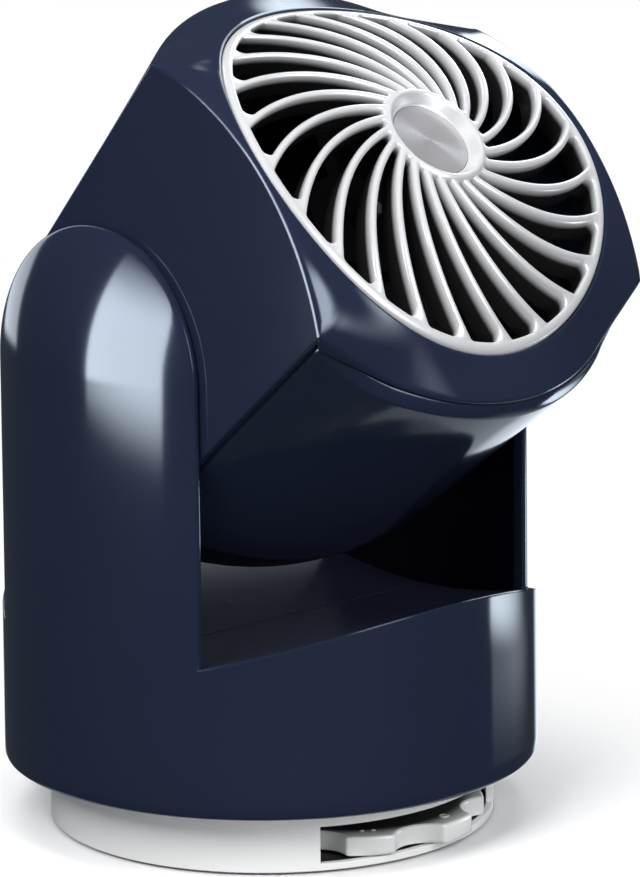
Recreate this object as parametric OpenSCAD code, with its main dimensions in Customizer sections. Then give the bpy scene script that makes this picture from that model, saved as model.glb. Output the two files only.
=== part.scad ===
// Compact air circulator: a tilting fan head between the two arms of a swivelling yoke,
// on a round plinth whose front window shows the lobed speed dial.

/* [Overall] */
// Growth of the column's radius from the tilt axis down to its foot
column_taper = 0.8; // [0.2:0.1:1]
// Height of the tilt axis above the table
pivot_z = 97.4; // [94:0.2:106]
// Upward tilt of the airflow from level
head_tilt = 44; // [20:1:80]
// Wall of the yoke shell
shell_wall = 2.2; // [1.8:0.1:2.8]
// Running gap between pieces that move past each other
move_gap = 0.5; // [0.4:0.05:0.7]
// Seam between pieces that are fixed together
seam_gap = 0.15; // [0.1:0.05:0.3]
// Radial clearance of every shaft and pin in its bore
shaft_fit = 0.05; // [0.03:0.01:0.08]

/* [Yoke] */
// Depth of an arm, from its flat inner face to the crown of its domed end
arm_depth = 9.6; // [9:0.1:12]
// Radius of the round arm ends about the tilt axis
arch_r = 29; // [26:0.5:31]
// Thickness of the flat liner that closes each arm
liner_t = 1.5; // [1.2:0.1:2]
// Height of the saddle floor at its lowest line
floor_z = 40; // [36:0.2:43]
// Radius of the curved saddle floor
floor_r = 120; // [110:5:150]
// Width of the parting gap across the saddle floor
parting_w = 0.6; // [0.4:0.1:1]
// Height of the yoke's bottom edge above the table
yoke_z = 13.8; // [13:0.1:15]
// Thickness of the yoke's bottom disc
yoke_floor_t = 2.4; // [2:0.1:3]
// Thickness of the steel ballast disc
ballast_t = 5; // [3:0.5:8]

/* [Head] */
// Step from the arms' round ends in to the cheeks' round rear ends
cheek_step = 0.4; // [0.2:0.1:1]
// Angle at which a cheek's straight edges flare from the airflow
cheek_flare_a = 4.1; // [2:0.1:5]
// Thickness of the cheek plates
cheek_t = 1.7; // [1.4:0.1:2]
// Radius of the cheeks' front edge about the tilt axis
cheek_front_r = 63.5; // [62.5:0.5:65]
// Depth of the barrel's belly beyond the air duct
belly_depth = 4.4; // [4.2:0.1:5]
// How far the barrel shows beyond the cheeks' edge
lip_out = 0.8; // [0.5:0.1:1.2]
// Width of the cover and rim round the grille
bezel_w = 9.9; // [9.3:0.1:10.4]
// Depth from the grille ring's crest back to the barrel's front rim
bezel_depth = 17; // [16.4:0.1:17.6]
// Depth of the bevel on the barrel's front rim
rim_bevel = 2.2; // [1.8:0.1:2.4]
// Rise of the rim's four corners beside the cheeks
corner_rise = 4.8; // [3.6:0.1:5.6]
// Place of the joint between barrel and rear grille, behind the tilt axis
rear_split = 14; // [12:0.5:17]
// Least wall of the barrel beside the air duct
duct_side = 1.65; // [1.45:0.05:2.4]

/* [Swirl grille] */
// Number of swirl vanes
vane_count = 24; // [18:1:28]
// Thickness of one vane
vane_t = 1.5; // [1.2:0.1:2]
// Radius of the arc that each vane follows
vane_arc_r = 34.3; // [33:0.1:36]
// Distance of that arc's centre from the airflow axis
vane_centre_r = 30.7; // [30:0.1:32]
// Turn of the whole vane pattern
vane_turn = 221; // [200:1:240]
// Outer radius of the grille ring
grille_r = 42.2; // [41:0.1:44]
// Width of the grille ring
grille_ring_w = 2; // [1.6:0.1:2.4]
// Width from the grille ring to the cheeks' outer faces
grille_side = 1.7; // [1.5:0.1:1.9]
// Step from the cheeks' front edge back to the grille ring
ring_step = 0.1; // [0:0.05:0.3]
// Radius of the ring's curve, seen from the side
saddle_r = 95.2; // [90:1:105]
// Rise of the grille from the ring to its centre
grille_rise = 4.4; // [3.5:0.1:5]
// Depth of the vanes along the airflow
vane_depth = 6; // [5:0.2:7]
// Radius of the grille's hub
hub_r = 11.3; // [10.6:0.1:12]
// Width of the hub's rim round the bare badge
hub_rim_w = 3.1; // [2.7:0.1:3.6]
// Depth of the badge below the hub's face
badge_drop = 2.4; // [1.6:0.1:3]
// Thickness of the badge
badge_t = 0.8; // [0.6:0.1:1.2]

/* [Impeller and motor] */
// Number of impeller blades
blade_count = 5; // [4:1:6]
// Gap between the impeller's tips and the duct
tip_gap = 1.8; // [1.6:0.1:2.8]
// Radius of the impeller's hub
impeller_hub_r = 12; // [11:0.5:14]
// Depth of the impeller's hub
impeller_h = 24; // [22:0.5:26]
// Thickness of a blade
blade_t = 1.6; // [1.2:0.1:2]
// Radius of a blade's curve
blade_curve_r = 26; // [25:0.5:28]
// Place of the impeller's back, in front of the tilt axis
impeller_n = 15.5; // [15:0.1:17]
// Radius of the motor can
motor_r = 17; // [15:0.5:19]
// Length of the motor can
motor_l = 30; // [28:0.5:31]
// Place of the motor's front face, in front of the tilt axis
motor_n = 11; // [10:0.1:12]
// Radius of the motor shaft
shaft_r = 1.6; // [1.3:0.1:2]
// Radius of the armature
armature_r = 12; // [10:0.5:12.5]
// Number of spokes that carry the motor
spoke_count = 4; // [3:1:6]

/* [Pivots] */
// Radius of the two tilt pins
pin_r = 3.5; // [3:0.1:4]
// Wall of the bush that each pin turns in
bush_wall = 1.6; // [1.2:0.1:2]
// Wall of the pin's boss in the arm
boss_wall = 3; // [2:0.2:4]

/* [Base and dial] */
// Turn of the plinth under the yoke, as photographed
base_turn = 5; // [-20:1:20]
// Step from the column's foot in to the plinth ring
plinth_step = 8.4; // [7:0.1:9]
// Wall of the plinth ring
plinth_wall = 1.4; // [1.2:0.1:1.6]
// Height of the swivel gap between plinth and yoke
swivel_gap = 0.4; // [0.3:0.05:0.8]
// Thickness of the non-slip pad
pad_t = 0.8; // [0.7:0.1:1.2]
// Thickness of the base plate
plate_t = 1.2; // [1.2:0.1:1.6]
// Half angle of the dial window
window_half_a = 36; // [33:1:40]
// Height of the window's lower edge
window_low = 2; // [2:0.1:2.6]
// Height of the window above the dial
window_room = 3.2; // [2.6:0.1:3.6]
// Radius of the lobed speed dial
dial_r = 27.4; // [26.5:0.1:27.6]
// Distance of the dial's axis in front of the swivel axis
dial_at = 21; // [20:0.1:21.4]
// Thickness of the dial's rim
dial_t = 4; // [3.6:0.1:4.4]
// Number of lobes round the dial
lobe_count = 8; // [6:1:9]
// Depth of the finger valleys between the lobes
lobe_h = 3.7; // [3:0.1:4.2]
// Radius of the finger valleys
valley_r = 7; // [6:0.1:7.6]
// Turn of the dial as photographed
dial_rest_a = 5; // [-6:0.5:6]
// Radius of the post that the dial turns on
post_r = 5; // [4:0.1:6]
// Outer radius of the swivel hub
swivel_r = 12; // [11:0.1:14]
// Radius of the cord inlet
inlet_r = 3.2; // [2.8:0.1:3.4]

/* [Hidden] */

$fn = 96;
hull_faces = 64;
cut = 1;
half_turn = 180;

yoke_navy = [0.13, 0.14, 0.22];
inner_black = [0.04, 0.04, 0.06];
pale_silver = [0.84, 0.84, 0.85];
steel_grey = [0.6, 0.61, 0.63];
pale_plastic = [0.88, 0.87, 0.84];
brass_tone = [0.72, 0.6, 0.35];

// Head values, along x, across v and forward along n from the tilt axis
cheek_x = grille_r + grille_side;
arm_inner_x = cheek_x + move_gap;
body_r = arm_inner_x + arm_depth;
cheek_r = arch_r - cheek_step;
barrel_half = cheek_x - cheek_t - seam_gap;
barrel_end_r = cheek_r + lip_out;
duct_r = barrel_half - duct_side;
duct_wall = 1.6;
belly_r = duct_r + belly_depth;
impeller_r = duct_r - tip_gap;
grille_n = cheek_front_r - ring_step;
rim_n = grille_n - bezel_depth;
rim_r = grille_r + bezel_w;
rim_corner_n = rim_n + corner_rise;
badge_r = hub_r - hub_rim_w;
bevel_lean_share = 0.64;
rim_front_n = rim_n + rim_bevel;
rim_front_r = rim_r - rim_bevel * bevel_lean_share;
cheek_corner_v = cheek_front_r * sin(cheek_flare_a + asin(cheek_r / cheek_front_r));
rim_corner_v = cheek_corner_v + lip_out;
bezel_r = rim_front_r - seam_gap;
bezel_n = rim_front_n + 2 * seam_gap;
bezel_edge_t = 0.6;
seat_r = grille_r + seam_gap + seam_gap / 2;
seat_lap = 1;
ledge_w = grille_ring_w - 2 * seam_gap;
seat_depth = 4.2;
ledge_n = rim_front_n - seat_depth;
ledge_bite = 0.25;
barrel_wall = 2;
ledge_t = 0.6;
flange_t = 2.3;
flange_n = ledge_n - flange_t;
screw_edge = 4.1;
cover_screw_at = seat_r + screw_edge;
cover_screw_angles = [40, 140, 220, 320];
cover_screw_r = 1.2;
cover_screw_head_r = 2.3;
cover_screw_l = 11.6;
rear_wall = 2.2;
slot_w = 2.6;
slot_step_a = 9;
slot_count = 9;
slot_reach_share = 0.82;

// The grille's crest is a barrel vault: a large arc turned about a line parallel to the tilt axis
crest_n = grille_n + grille_rise;
crest_arc_r = (grille_r * grille_r + grille_rise * grille_rise) / (2 * grille_rise);
ring_low_n = grille_n - saddle_r + sqrt(saddle_r * saddle_r - grille_r * grille_r);
crest_drop = crest_n - ring_low_n;
crest_turn_r = (grille_r * grille_r + crest_drop * crest_drop) / (2 * crest_drop);
vault_axis_n = crest_n - crest_turn_r;
hub_sink = 0.3;
hub_top_n = crest_n - hub_sink;
hub_bite = 1;
hub_bevel = 0.8;
badge_floor_t = 3;
badge_top_n = hub_top_n - badge_drop;

// Motor and impeller places
motor_back_n = motor_n - motor_l;
can_wall = 1.5;
cap_t = 2;
bush_l = 4;
bush_r = 4;
shaft_back_n = motor_back_n + cap_t;
shaft_out = 5;
shaft_front_n = impeller_n + impeller_h + shaft_out;
armature_l = motor_l - 2 * cap_t - 2 * bush_l - 2 * move_gap;
armature_n = motor_back_n + cap_t + bush_l + move_gap;
mount_cup_wall = 2;
mount_l = 10;
mount_back = 4;
mount_n = motor_n - mount_l - mount_back;
spoke_w = 4;
spoke_step = 1;
mount_screw_r = 1.2;
nut_r = 3.2;
nut_h = 3;
blade_low = 2;
blade_high = 22;
blade_back_share = 0.46;

// Pivot values
bush_outer_r = pin_r + shaft_fit + bush_wall;
bush_end_gap = 0.3;
pin_end_gap = 0.4;
pin_inner_x = duct_r + pin_end_gap;
boss_r = pin_r + boss_wall;
pin_cover = 1.5;
pin_outer_x = body_r - shell_wall - pin_cover;
washer_w = 3;
washer_r = bush_outer_r + washer_w;
washer_gap = 0.05;

// Yoke values
yoke_inner_r = body_r - shell_wall;
liner_r = sqrt(yoke_inner_r * yoke_inner_r - arm_inner_x * arm_inner_x) - 2 * seam_gap;
saddle_t = 2.4;
liner_foot_z = floor_z - saddle_t + 2 * seam_gap;
floor_axis_z = floor_z + floor_r;
saddle_half_x = arm_inner_x - seam_gap;
disc_top_z = yoke_z + yoke_floor_t;
disc_r = yoke_inner_r + column_growth(disc_top_z) - seam_gap;
saddle_edge_r = yoke_inner_r + column_growth(floor_z + body_r / 4) - seam_gap;
ballast_gap = 9.8;
ballast_r = yoke_inner_r - ballast_gap;
ballast_clear = 4;
ballast_bore_r = swivel_r + ballast_clear;
saddle_post_r = 3.4;
post_bite = 0.3;
post_at = yoke_inner_r + column_taper - saddle_post_r + post_bite;
beam_w = 6;
beam_h = 4;
beam_bite = 1.4;
screw_r = 1.5;
screw_head_r = 2.6;
screw_head_h = 1.2;

// Base values
plate_z = pad_t;
plate_top = plate_z + plate_t;
plinth_r = body_r - plinth_step;
plinth_top = yoke_z - swivel_gap;
plinth_lap = 0.2;
plinth_bottom = pad_t - plinth_lap;
plinth_inner_r = plinth_r - plinth_wall;
deck_t = 1.8;
deck_z = plinth_top - deck_t;
pad_inset = 1.8;
pad_r = plinth_r - pad_inset;
pad_w = 11;
base_screw_inset = 7.2;
base_screw_at = plinth_inner_r - base_screw_inset;
base_boss_r = 3;
base_screw_angles = [-20, 60, 120, 200];
base_head_h = 0.8;
deck_bite = 0.5;
dial_lift = 0.3;
dial_z = plate_top + dial_lift;
dial_web_t = 2;
dial_rim_w = 4.6;
dial_inner_r = dial_r - lobe_h - dial_rim_w;
dial_hub_wall = 2;
dial_hub_r = post_r + shaft_fit + dial_hub_wall;
dial_web_z = dial_z + dial_t - dial_web_t;
window_high = dial_z + dial_t + window_room;
post_top = dial_z + dial_t + dial_lift;
board_t = 1.2;
board_gap = 1.2;
board_in_r = dial_hub_r + board_gap;
board_out_r = dial_inner_r - board_gap;
board_mouth_angle = 50;
wiper_w = 3;
wiper_step = 0.6;
inlet_z = (plate_top + deck_z) / 2;
inlet_bore_wall = 1;
inlet_bore_r = inlet_r - inlet_bore_wall;
inlet_flange = 1;
inlet_flange_t = 1.2;
swivel_wall = 3;
retainer_w = 2.6;
retainer_r = swivel_r + retainer_w;
retainer_t = 1.4;
retainer_gap = 0.3;
washer_edge = 6.2;
slide_w = 8;
washer_out_r = plinth_inner_r - washer_edge;
washer_in_r = washer_out_r - slide_w;

// Places the head's own frame on the tilt axis: x across, y upwards across the face, z along the airflow
module head_frame() {
    translate([0, 0, pivot_z])
        rotate([90 - head_tilt, 0, 0])
            children();
}

// A tube between two heights
module ring(outer_r, inner_r, low, high) {
    translate([0, 0, low])
        difference() {
            cylinder(r = outer_r, h = high - low);
            translate([0, 0, -cut])
                cylinder(r = inner_r, h = high - low + 2 * cut);
        }
}

// A round bar along x between two places
module bar_x(r, from_x, to_x) {
    translate([from_x, 0, 0])
        rotate([0, 90, 0])
            cylinder(r = r, h = to_x - from_x);
}

// A plate across x, drawn in the y and z plane
module plate_x(from_x, to_x) {
    translate([from_x, 0, 0])
        rotate([90, 0, 90])
            linear_extrude(to_x - from_x)
                children();
}

// A barrel-shaped solid turned about x
module drum(mid_r, end_r, half) {
    sag = mid_r - end_r;
    arc_r = (half * half + sag * sag) / (2 * sag);
    rotate([0, 90, 0])
        rotate_extrude()
            intersection() {
                translate([mid_r - arc_r, 0])
                    circle(r = arc_r);
                translate([0, -half])
                    square([mid_r, 2 * half]);
            }
}

// The barrel vault under the grille's crest, lowered by a depth
module vault(depth) {
    arc_r = crest_arc_r - depth;
    top = crest_turn_r - depth;
    translate([0, 0, vault_axis_n])
        rotate([0, 90, 0])
            rotate_extrude()
                intersection() {
                    translate([top - arc_r, 0])
                        circle(r = arc_r);
                    translate([0, -body_r])
                        square([top, 2 * body_r]);
                }
}

// Growth of the column's radius at a height
function column_growth(z) = column_taper * (pivot_z - z) / (pivot_z - yoke_z);

// Column with a domed end about the tilt axis
module capsule(r, low) {
    translate([0, 0, low])
        cylinder(r1 = r + column_growth(low), r2 = r, h = pivot_z - low);
    translate([0, 0, pivot_z])
        sphere(r = r);
}

// A bar along x about the saddle floor's axis
module bar_x_at(r, half) {
    translate([0, 0, floor_axis_z])
        bar_x(r, -half, half);
}

// Outline of one arm's flat inner side
module arm_outline(r, low) {
    translate([0, pivot_z])
        circle(r = r);
    translate([-r, low])
        square([2 * r, pivot_z - low]);
}

// Outline of one flat cheek in the head's frame
module cheek_outline() {
    foot_v = cheek_r * cos(cheek_flare_a);
    foot_n = -cheek_r * sin(cheek_flare_a);
    far_n = cheek_front_r + cut;
    far_v = foot_v + (far_n - foot_n) * tan(cheek_flare_a);
    circle(r = cheek_r);
    intersection() {
        circle(r = cheek_front_r);
        polygon([[-foot_v, foot_n], [foot_v, foot_n], [far_v, far_n], [-far_v, far_n]]);
    }
}

// Turns the plinth's own pieces under the yoke
module base_frame() {
    rotate([0, 0, base_turn])
        children();
}

// Places what sits about the dial's axis
module dial_frame() {
    base_frame()
        translate([0, -dial_at, 0])
            children();
}

module plinth_ring() {
    color(pale_plastic)
        base_frame() {
        difference() {
            ring(plinth_r, plinth_inner_r, plinth_bottom, plinth_top);
            window_cut();
            translate([0, plinth_r, inlet_z])
                rotate([90, 0, 0])
                    cylinder(r = inlet_r + shaft_fit, h = 2 * plinth_wall + cut, center = true);
        }
        ring(plinth_inner_r + deck_bite, swivel_r + shaft_fit, deck_z, plinth_top);
        for (a = base_screw_angles)
            rotate([0, 0, a])
                translate([base_screw_at, 0, 0])
                    ring(base_boss_r, screw_r, plate_top, deck_z + deck_bite);
    }
}

// The dial window: a sector that is centred on the front
module window_cut() {
    reach = 2 * plinth_r;
    translate([0, 0, window_low])
        linear_extrude(window_high - window_low)
            polygon([[0, 0], [-reach * sin(window_half_a), -reach * cos(window_half_a)],
                [reach * sin(window_half_a), -reach * cos(window_half_a)]]);
}

module base_plate() {
    color(inner_black)
        base_frame() {
        difference() {
            translate([0, 0, plate_z])
                cylinder(r = plinth_inner_r - seam_gap, h = plate_t);
            for (a = base_screw_angles)
                rotate([0, 0, a])
                    translate([base_screw_at, 0, plate_z - cut]) {
                        cylinder(r = screw_r, h = plate_t + 2 * cut);
                        cylinder(r = screw_head_r + seam_gap, h = base_head_h + cut);
                    }
        }
        translate([0, -dial_at, plate_top - deck_bite])
            cylinder(r = post_r, h = post_top - plate_top + deck_bite);
    }
}

module non_slip_pad() {
    color([0.2, 0.2, 0.2])
        ring(pad_r, pad_r - pad_w, 0, pad_t);
}

module base_screws() {
    color(steel_grey)
        base_frame()
        for (a = base_screw_angles)
            rotate([0, 0, a])
                translate([base_screw_at, 0, plate_z]) {
                    cylinder(r = screw_head_r, h = base_head_h);
                    cylinder(r = screw_r - seam_gap, h = deck_z - plate_z - 2 * base_head_h);
                }
}

module cord_inlet() {
    wall_out = plinth_r;
    color(inner_black)
        base_frame()
        translate([0, wall_out, inlet_z])
            rotate([90, 0, 0])
                difference() {
                    union() {
                        translate([0, 0, -inlet_flange_t])
                            cylinder(r = inlet_r + inlet_flange, h = inlet_flange_t);
                        cylinder(r = inlet_r, h = plinth_wall + inlet_flange_t);
                    }
                    translate([0, 0, -inlet_flange_t - cut])
                        cylinder(r = inlet_bore_r, h = plinth_wall + 2 * inlet_flange_t + 2 * cut);
                }
}

module swivel_washer() {
    color([0.9, 0.9, 0.88])
        ring(washer_out_r, washer_in_r, plinth_top, yoke_z - washer_gap);
}

module contact_board() {
    reach = 2 * board_out_r;
    color([0.1, 0.35, 0.2])
        dial_frame()
            difference() {
                ring(board_out_r, board_in_r, plate_top, plate_top + board_t);
                translate([0, 0, plate_top - cut])
                    linear_extrude(board_t + 2 * cut)
                        polygon([[0, 0], [reach * sin(board_mouth_angle), reach * cos(board_mouth_angle)],
                            [-reach * sin(board_mouth_angle), reach * cos(board_mouth_angle)]]);
            }
}

// Outline of the dial: a round wheel with finger valleys between its lobes
module dial_outline() {
    difference() {
        circle(r = dial_r);
        for (i = [0 : lobe_count - 1])
            rotate([0, 0, (i + 0.5) * 360 / lobe_count - 90])
                translate([dial_r - lobe_h + valley_r, 0])
                    circle(r = valley_r);
    }
}

module speed_dial() {
    color(pale_silver)
        dial_frame()
            rotate([0, 0, dial_rest_a]) {
                translate([0, 0, dial_z])
                    linear_extrude(dial_t)
                        difference() {
                            dial_outline();
                            circle(r = dial_inner_r);
                        }
                ring(dial_inner_r + deck_bite, post_r + shaft_fit, dial_web_z, dial_z + dial_t);
                ring(dial_hub_r, post_r + shaft_fit, dial_z, dial_z + dial_t);
            }
}

module wiper_contact() {
    low = plate_top + board_t + washer_gap;
    color(brass_tone)
        dial_frame()
            rotate([0, 0, dial_rest_a])
                translate([-wiper_w / 2, -board_out_r + wiper_step, low])
                    cube([wiper_w, board_out_r - board_in_r - 2 * wiper_step, dial_web_z - low]);
}

module yoke_shell() {
    color(yoke_navy) {
        difference() {
            capsule(body_r, yoke_z);
            capsule(yoke_inner_r, yoke_z - cut);
            bar_x_at(floor_r, arm_inner_x);
            arm_trim();
            for (side = [0, 1])
                mirror([side, 0, 0])
                    plate_x(arm_inner_x - cut, arm_inner_x + liner_t + seam_gap)
                        arm_outline(liner_r + seam_gap, liner_foot_z - seam_gap);
        }
        for (side = [-1, 1])
            arm_boss(side);
        difference() {
            union() {
                for (a = [45 : 90 : 315])
                    rotate([0, 0, a])
                        translate([post_at, 0, 0])
                            ring(saddle_post_r, screw_r, disc_top_z, floor_z + body_r / 4);
                translate([-yoke_inner_r - beam_bite, -beam_w / 2, floor_z - saddle_t - beam_h])
                    cube([2 * (yoke_inner_r + beam_bite), beam_w, beam_h + saddle_t]);
            }
            bar_x_at(floor_r + saddle_t, body_r);
        }
    }
}

// Cuts everything above the saddle floor down to the two arms' arched outline
module arm_trim() {
    difference() {
        bar_x_at(floor_r, body_r + 2 * cut);
        plate_x(-body_r - 3 * cut, body_r + 3 * cut)
            arm_outline(arch_r, yoke_z);
    }
}

module arm_boss(side) {
    inner_x = arm_inner_x + liner_t + seam_gap;
    outer_x = yoke_inner_r + shell_wall / 2;
    mirror([side < 0 ? 1 : 0, 0, 0])
        translate([0, 0, pivot_z])
            difference() {
                bar_x(boss_r, inner_x, outer_x);
                bar_x(pin_r, inner_x - cut, pin_outer_x);
            }
}

module yoke_floor() {
    color(inner_black) {
        difference() {
            translate([0, 0, yoke_z])
                cylinder(r = disc_r, h = yoke_floor_t);
            translate([0, 0, yoke_z - cut])
                cylinder(r = swivel_r - swivel_wall, h = yoke_floor_t + 2 * cut);
            for (a = [45 : 90 : 315])
                rotate([0, 0, a])
                    translate([post_at, 0, yoke_z - cut]) {
                        cylinder(r = screw_r, h = yoke_floor_t + 2 * cut);
                        cylinder(r = screw_head_r + seam_gap, h = screw_head_h + cut);
                    }
        }
        ring(swivel_r, swivel_r - swivel_wall, deck_z - retainer_gap, yoke_z + deck_bite);
    }
}

// One half of the saddle floor panel
module saddle_half(side) {
    difference() {
        intersection() {
            translate([0, 0, floor_z - saddle_t - cut])
                cylinder(r = saddle_edge_r, h = 2 * arch_r);
            translate([-saddle_half_x, side > 0 ? parting_w / 2 : -body_r, 0])
                cube([2 * saddle_half_x, body_r - parting_w / 2, pivot_z]);
            bar_x_at(floor_r + saddle_t, body_r);
        }
        bar_x_at(floor_r, body_r + cut);
    }
}

module saddle_front() {
    color(yoke_navy)
        saddle_half(-1);
}

module saddle_rear() {
    color(yoke_navy)
        saddle_half(1);
}

module ballast_disc() {
    color(steel_grey)
        ring(ballast_r, ballast_bore_r, disc_top_z, disc_top_z + ballast_t);
}

module swivel_retainer() {
    top = deck_z - retainer_gap;
    color(steel_grey)
        ring(retainer_r, swivel_r - swivel_wall, top - retainer_t, top);
}

module yoke_screws() {
    color(steel_grey)
        for (a = [45 : 90 : 315])
            rotate([0, 0, a])
                translate([post_at, 0, yoke_z]) {
                    cylinder(r = screw_head_r, h = screw_head_h);
                    cylinder(r = screw_r - seam_gap, h = yoke_floor_t + 3 * screw_head_r);
                }
}

module arm_liner(side) {
    mirror([side < 0 ? 1 : 0, 0, 0])
        difference() {
            plate_x(arm_inner_x, arm_inner_x + liner_t)
                arm_outline(liner_r, liner_foot_z);
            translate([0, 0, pivot_z])
                bar_x(pin_r + shaft_fit, arm_inner_x - cut, arm_inner_x + liner_t + cut);
        }
}

module arm_liner_left() {
    color(yoke_navy)
        arm_liner(-1);
}

module arm_liner_right() {
    color(yoke_navy)
        arm_liner(1);
}

module tilt_pin(side) {
    mirror([side < 0 ? 1 : 0, 0, 0])
        translate([0, 0, pivot_z])
            bar_x(pin_r, pin_inner_x, pin_outer_x);
}

module tilt_pin_left() {
    color(steel_grey)
        tilt_pin(-1);
}

module tilt_pin_right() {
    color(steel_grey)
        tilt_pin(1);
}

// The cover's front, blown from the saddle ring out to the rim and to both cheeks
module cover_form() {
    hull() {
        intersection() {
            translate([0, 0, bezel_n])
                cylinder(r = grille_r + seat_lap, h = body_r, $fn = hull_faces);
            translate([0, 0, grille_n - saddle_r])
                rotate([0, 90, 0])
                    cylinder(r = saddle_r, h = 2 * cheek_x, center = true, $fn = 4 * hull_faces);
        }
        intersection() {
            translate([0, 0, bezel_n])
                cylinder(r = bezel_r, h = bezel_edge_t, $fn = 2 * hull_faces);
            translate([-cheek_x, -body_r, 0])
                cube([2 * cheek_x, 2 * body_r, 2 * body_r]);
        }
        intersection() {
            plate_x(-cheek_x, cheek_x)
                cheek_outline($fn = 4 * hull_faces);
            translate([-body_r, -body_r, bezel_n])
                cube([2 * body_r, 2 * body_r, body_r]);
        }
    }
}

module front_cover() {
    color(yoke_navy)
        head_frame() {
            difference() {
                cover_form();
                barrel_form(-2 * seam_gap);
                translate([0, 0, bezel_n - cut])
                    cylinder(r = seat_r, h = body_r);
                cover_screw_holes();
            }
            ring(seat_r + ledge_bite, seat_r - ledge_w, ledge_n, ledge_n + ledge_t);
            intersection() {
                ring(seat_r + ledge_bite, seat_r - ledge_w, ledge_n, crest_n);
                vault(vane_depth);
            }
            for (side = [-1, 1])
                mirror([side < 0 ? 1 : 0, 0, 0])
                    difference() {
                        plate_x(cheek_x - cheek_t, cheek_x)
                            cheek_outline();
                        bar_x(bush_outer_r, cheek_x - cheek_t - cut, cheek_x + cut);
                    }
        }
}

// Four holes along the airflow for the screws between barrel and cover
module cover_screw_holes() {
    for (a = cover_screw_angles)
        rotate([0, 0, a])
            translate([cover_screw_at, 0, flange_n - cut])
                cylinder(r = cover_screw_r + seam_gap, h = cover_screw_l + cut + seam_gap);
}

// The barrel's outer form, inset by a wall: a belly about the tilt axis, blown out to the round rim
module barrel_form(inset) {
    half = barrel_half - inset;
    hull() {
        intersection() {
            union() {
                translate([0, 0, rim_n - bezel_edge_t])
                    cylinder(r = rim_r - inset, h = bezel_edge_t, $fn = 2 * hull_faces);
                translate([0, 0, rim_n])
                    cylinder(r1 = rim_r - inset, r2 = rim_front_r - inset, h = rim_bevel,
                        $fn = 2 * hull_faces);
            }
            translate([-half, -body_r, 0])
                cube([2 * half, 2 * body_r, 2 * body_r]);
        }
        translate([-half, inset - rim_corner_v, rim_corner_n - bezel_edge_t])
            cube([2 * half, 2 * (rim_corner_v - inset), bezel_edge_t]);
        drum(belly_r - inset, barrel_end_r - inset, half, $fn = hull_faces);
    }
}

module barrel() {
    color(yoke_navy)
        head_frame()
            difference() {
                intersection() {
                    barrel_form(0);
                    translate([-body_r, -body_r, -rear_split])
                        cube([2 * body_r, 2 * body_r, 2 * body_r]);
                }
                difference() {
                    intersection() {
                        barrel_form(barrel_wall);
                        translate([-body_r, -body_r, -rear_split - cut])
                            cube([2 * body_r, 2 * body_r, rear_split + cut + flange_n]);
                    }
                    translate([0, 0, -rear_split - 2 * cut])
                        cylinder(r = duct_r + duct_wall, h = 2 * body_r);
                    for (side = [0, 1])
                        mirror([side, 0, 0])
                            bar_x(bush_outer_r + boss_wall, duct_r - 2 * cut, body_r);
                }
                translate([0, 0, -rear_split - cut])
                    cylinder(r = duct_r, h = 2 * body_r);
                translate([0, 0, ledge_n - 2 * seam_gap])
                    cylinder(r = seat_r + ledge_bite + seam_gap, h = body_r);
                bar_x(bush_outer_r, -body_r, body_r);
                cover_screw_holes();
            }
}

module rear_grille() {
    back_n = rear_split + seam_gap;
    color(inner_black)
        head_frame()
            difference() {
                intersection() {
                    drum(belly_r, barrel_end_r, barrel_half);
                    translate([-body_r, -body_r, -body_r - back_n])
                        cube([2 * body_r, 2 * body_r, body_r]);
                }
                drum(belly_r - rear_wall, barrel_end_r - rear_wall, barrel_half - rear_wall);
                for (i = [0 : slot_count - 1])
                    rear_slot((i - (slot_count - 1) / 2) * slot_step_a);
            }
}

// One slot across the rear grille, at an angle about the tilt axis
module rear_slot(a) {
    inner_r = belly_r - 3 * rear_wall;
    half = sqrt(pow(slot_reach_share * duct_r, 2) - pow(inner_r * sin(a), 2));
    rotate([a, 0, 0])
        translate([-half, -slot_w / 2, -body_r])
            cube([2 * half, slot_w, body_r - rear_split - 3 * rear_wall]);
}

// One swirl vane's plan: an arc strip between hub and ring
module vane_plan() {
    intersection() {
        difference() {
            translate([vane_centre_r, 0])
                circle(r = vane_arc_r + vane_t / 2);
            translate([vane_centre_r, 0])
                circle(r = vane_arc_r - vane_t / 2);
        }
        translate([-body_r, -2 * body_r])
            square([2 * body_r, 2 * body_r]);
        difference() {
            circle(r = grille_r - grille_ring_w / 2);
            circle(r = hub_r - hub_bite);
        }
    }
}

module swirl_grille() {
    back_n = ledge_n + ledge_t;
    color(pale_silver)
        head_frame() {
            difference() {
                intersection() {
                    translate([0, 0, back_n])
                        linear_extrude(body_r / 2)
                            union() {
                                difference() {
                                    circle(r = grille_r);
                                    circle(r = grille_r - grille_ring_w);
                                }
                                for (i = [0 : vane_count - 1])
                                    rotate([0, 0, i * 360 / vane_count + vane_turn])
                                        vane_plan();
                            }
                    vault(0);
                }
                vault(vane_depth);
            }
            difference() {
                translate([0, 0, badge_top_n - badge_t - badge_floor_t])
                    cylinder(r = hub_r, h = hub_top_n - badge_top_n + badge_t + badge_floor_t);
                translate([0, 0, badge_top_n - badge_t])
                    cylinder(r = badge_r + seam_gap, h = badge_drop + badge_t + cut);
                translate([0, 0, badge_top_n])
                    cylinder(r1 = badge_r + seam_gap, r2 = hub_r - hub_bevel, h = badge_drop);
            }
        }
}

module hub_badge() {
    color(steel_grey)
        head_frame()
            translate([0, 0, badge_top_n - badge_t])
                cylinder(r = badge_r, h = badge_t);
}

module tilt_bush(side) {
    head_frame()
        mirror([side < 0 ? 1 : 0, 0, 0])
            difference() {
                bar_x(bush_outer_r, duct_r + bush_end_gap, cheek_x);
                bar_x(pin_r + shaft_fit, duct_r - cut, cheek_x + cut);
            }
}

module tilt_bush_left() {
    color(pale_plastic)
        tilt_bush(-1);
}

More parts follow.
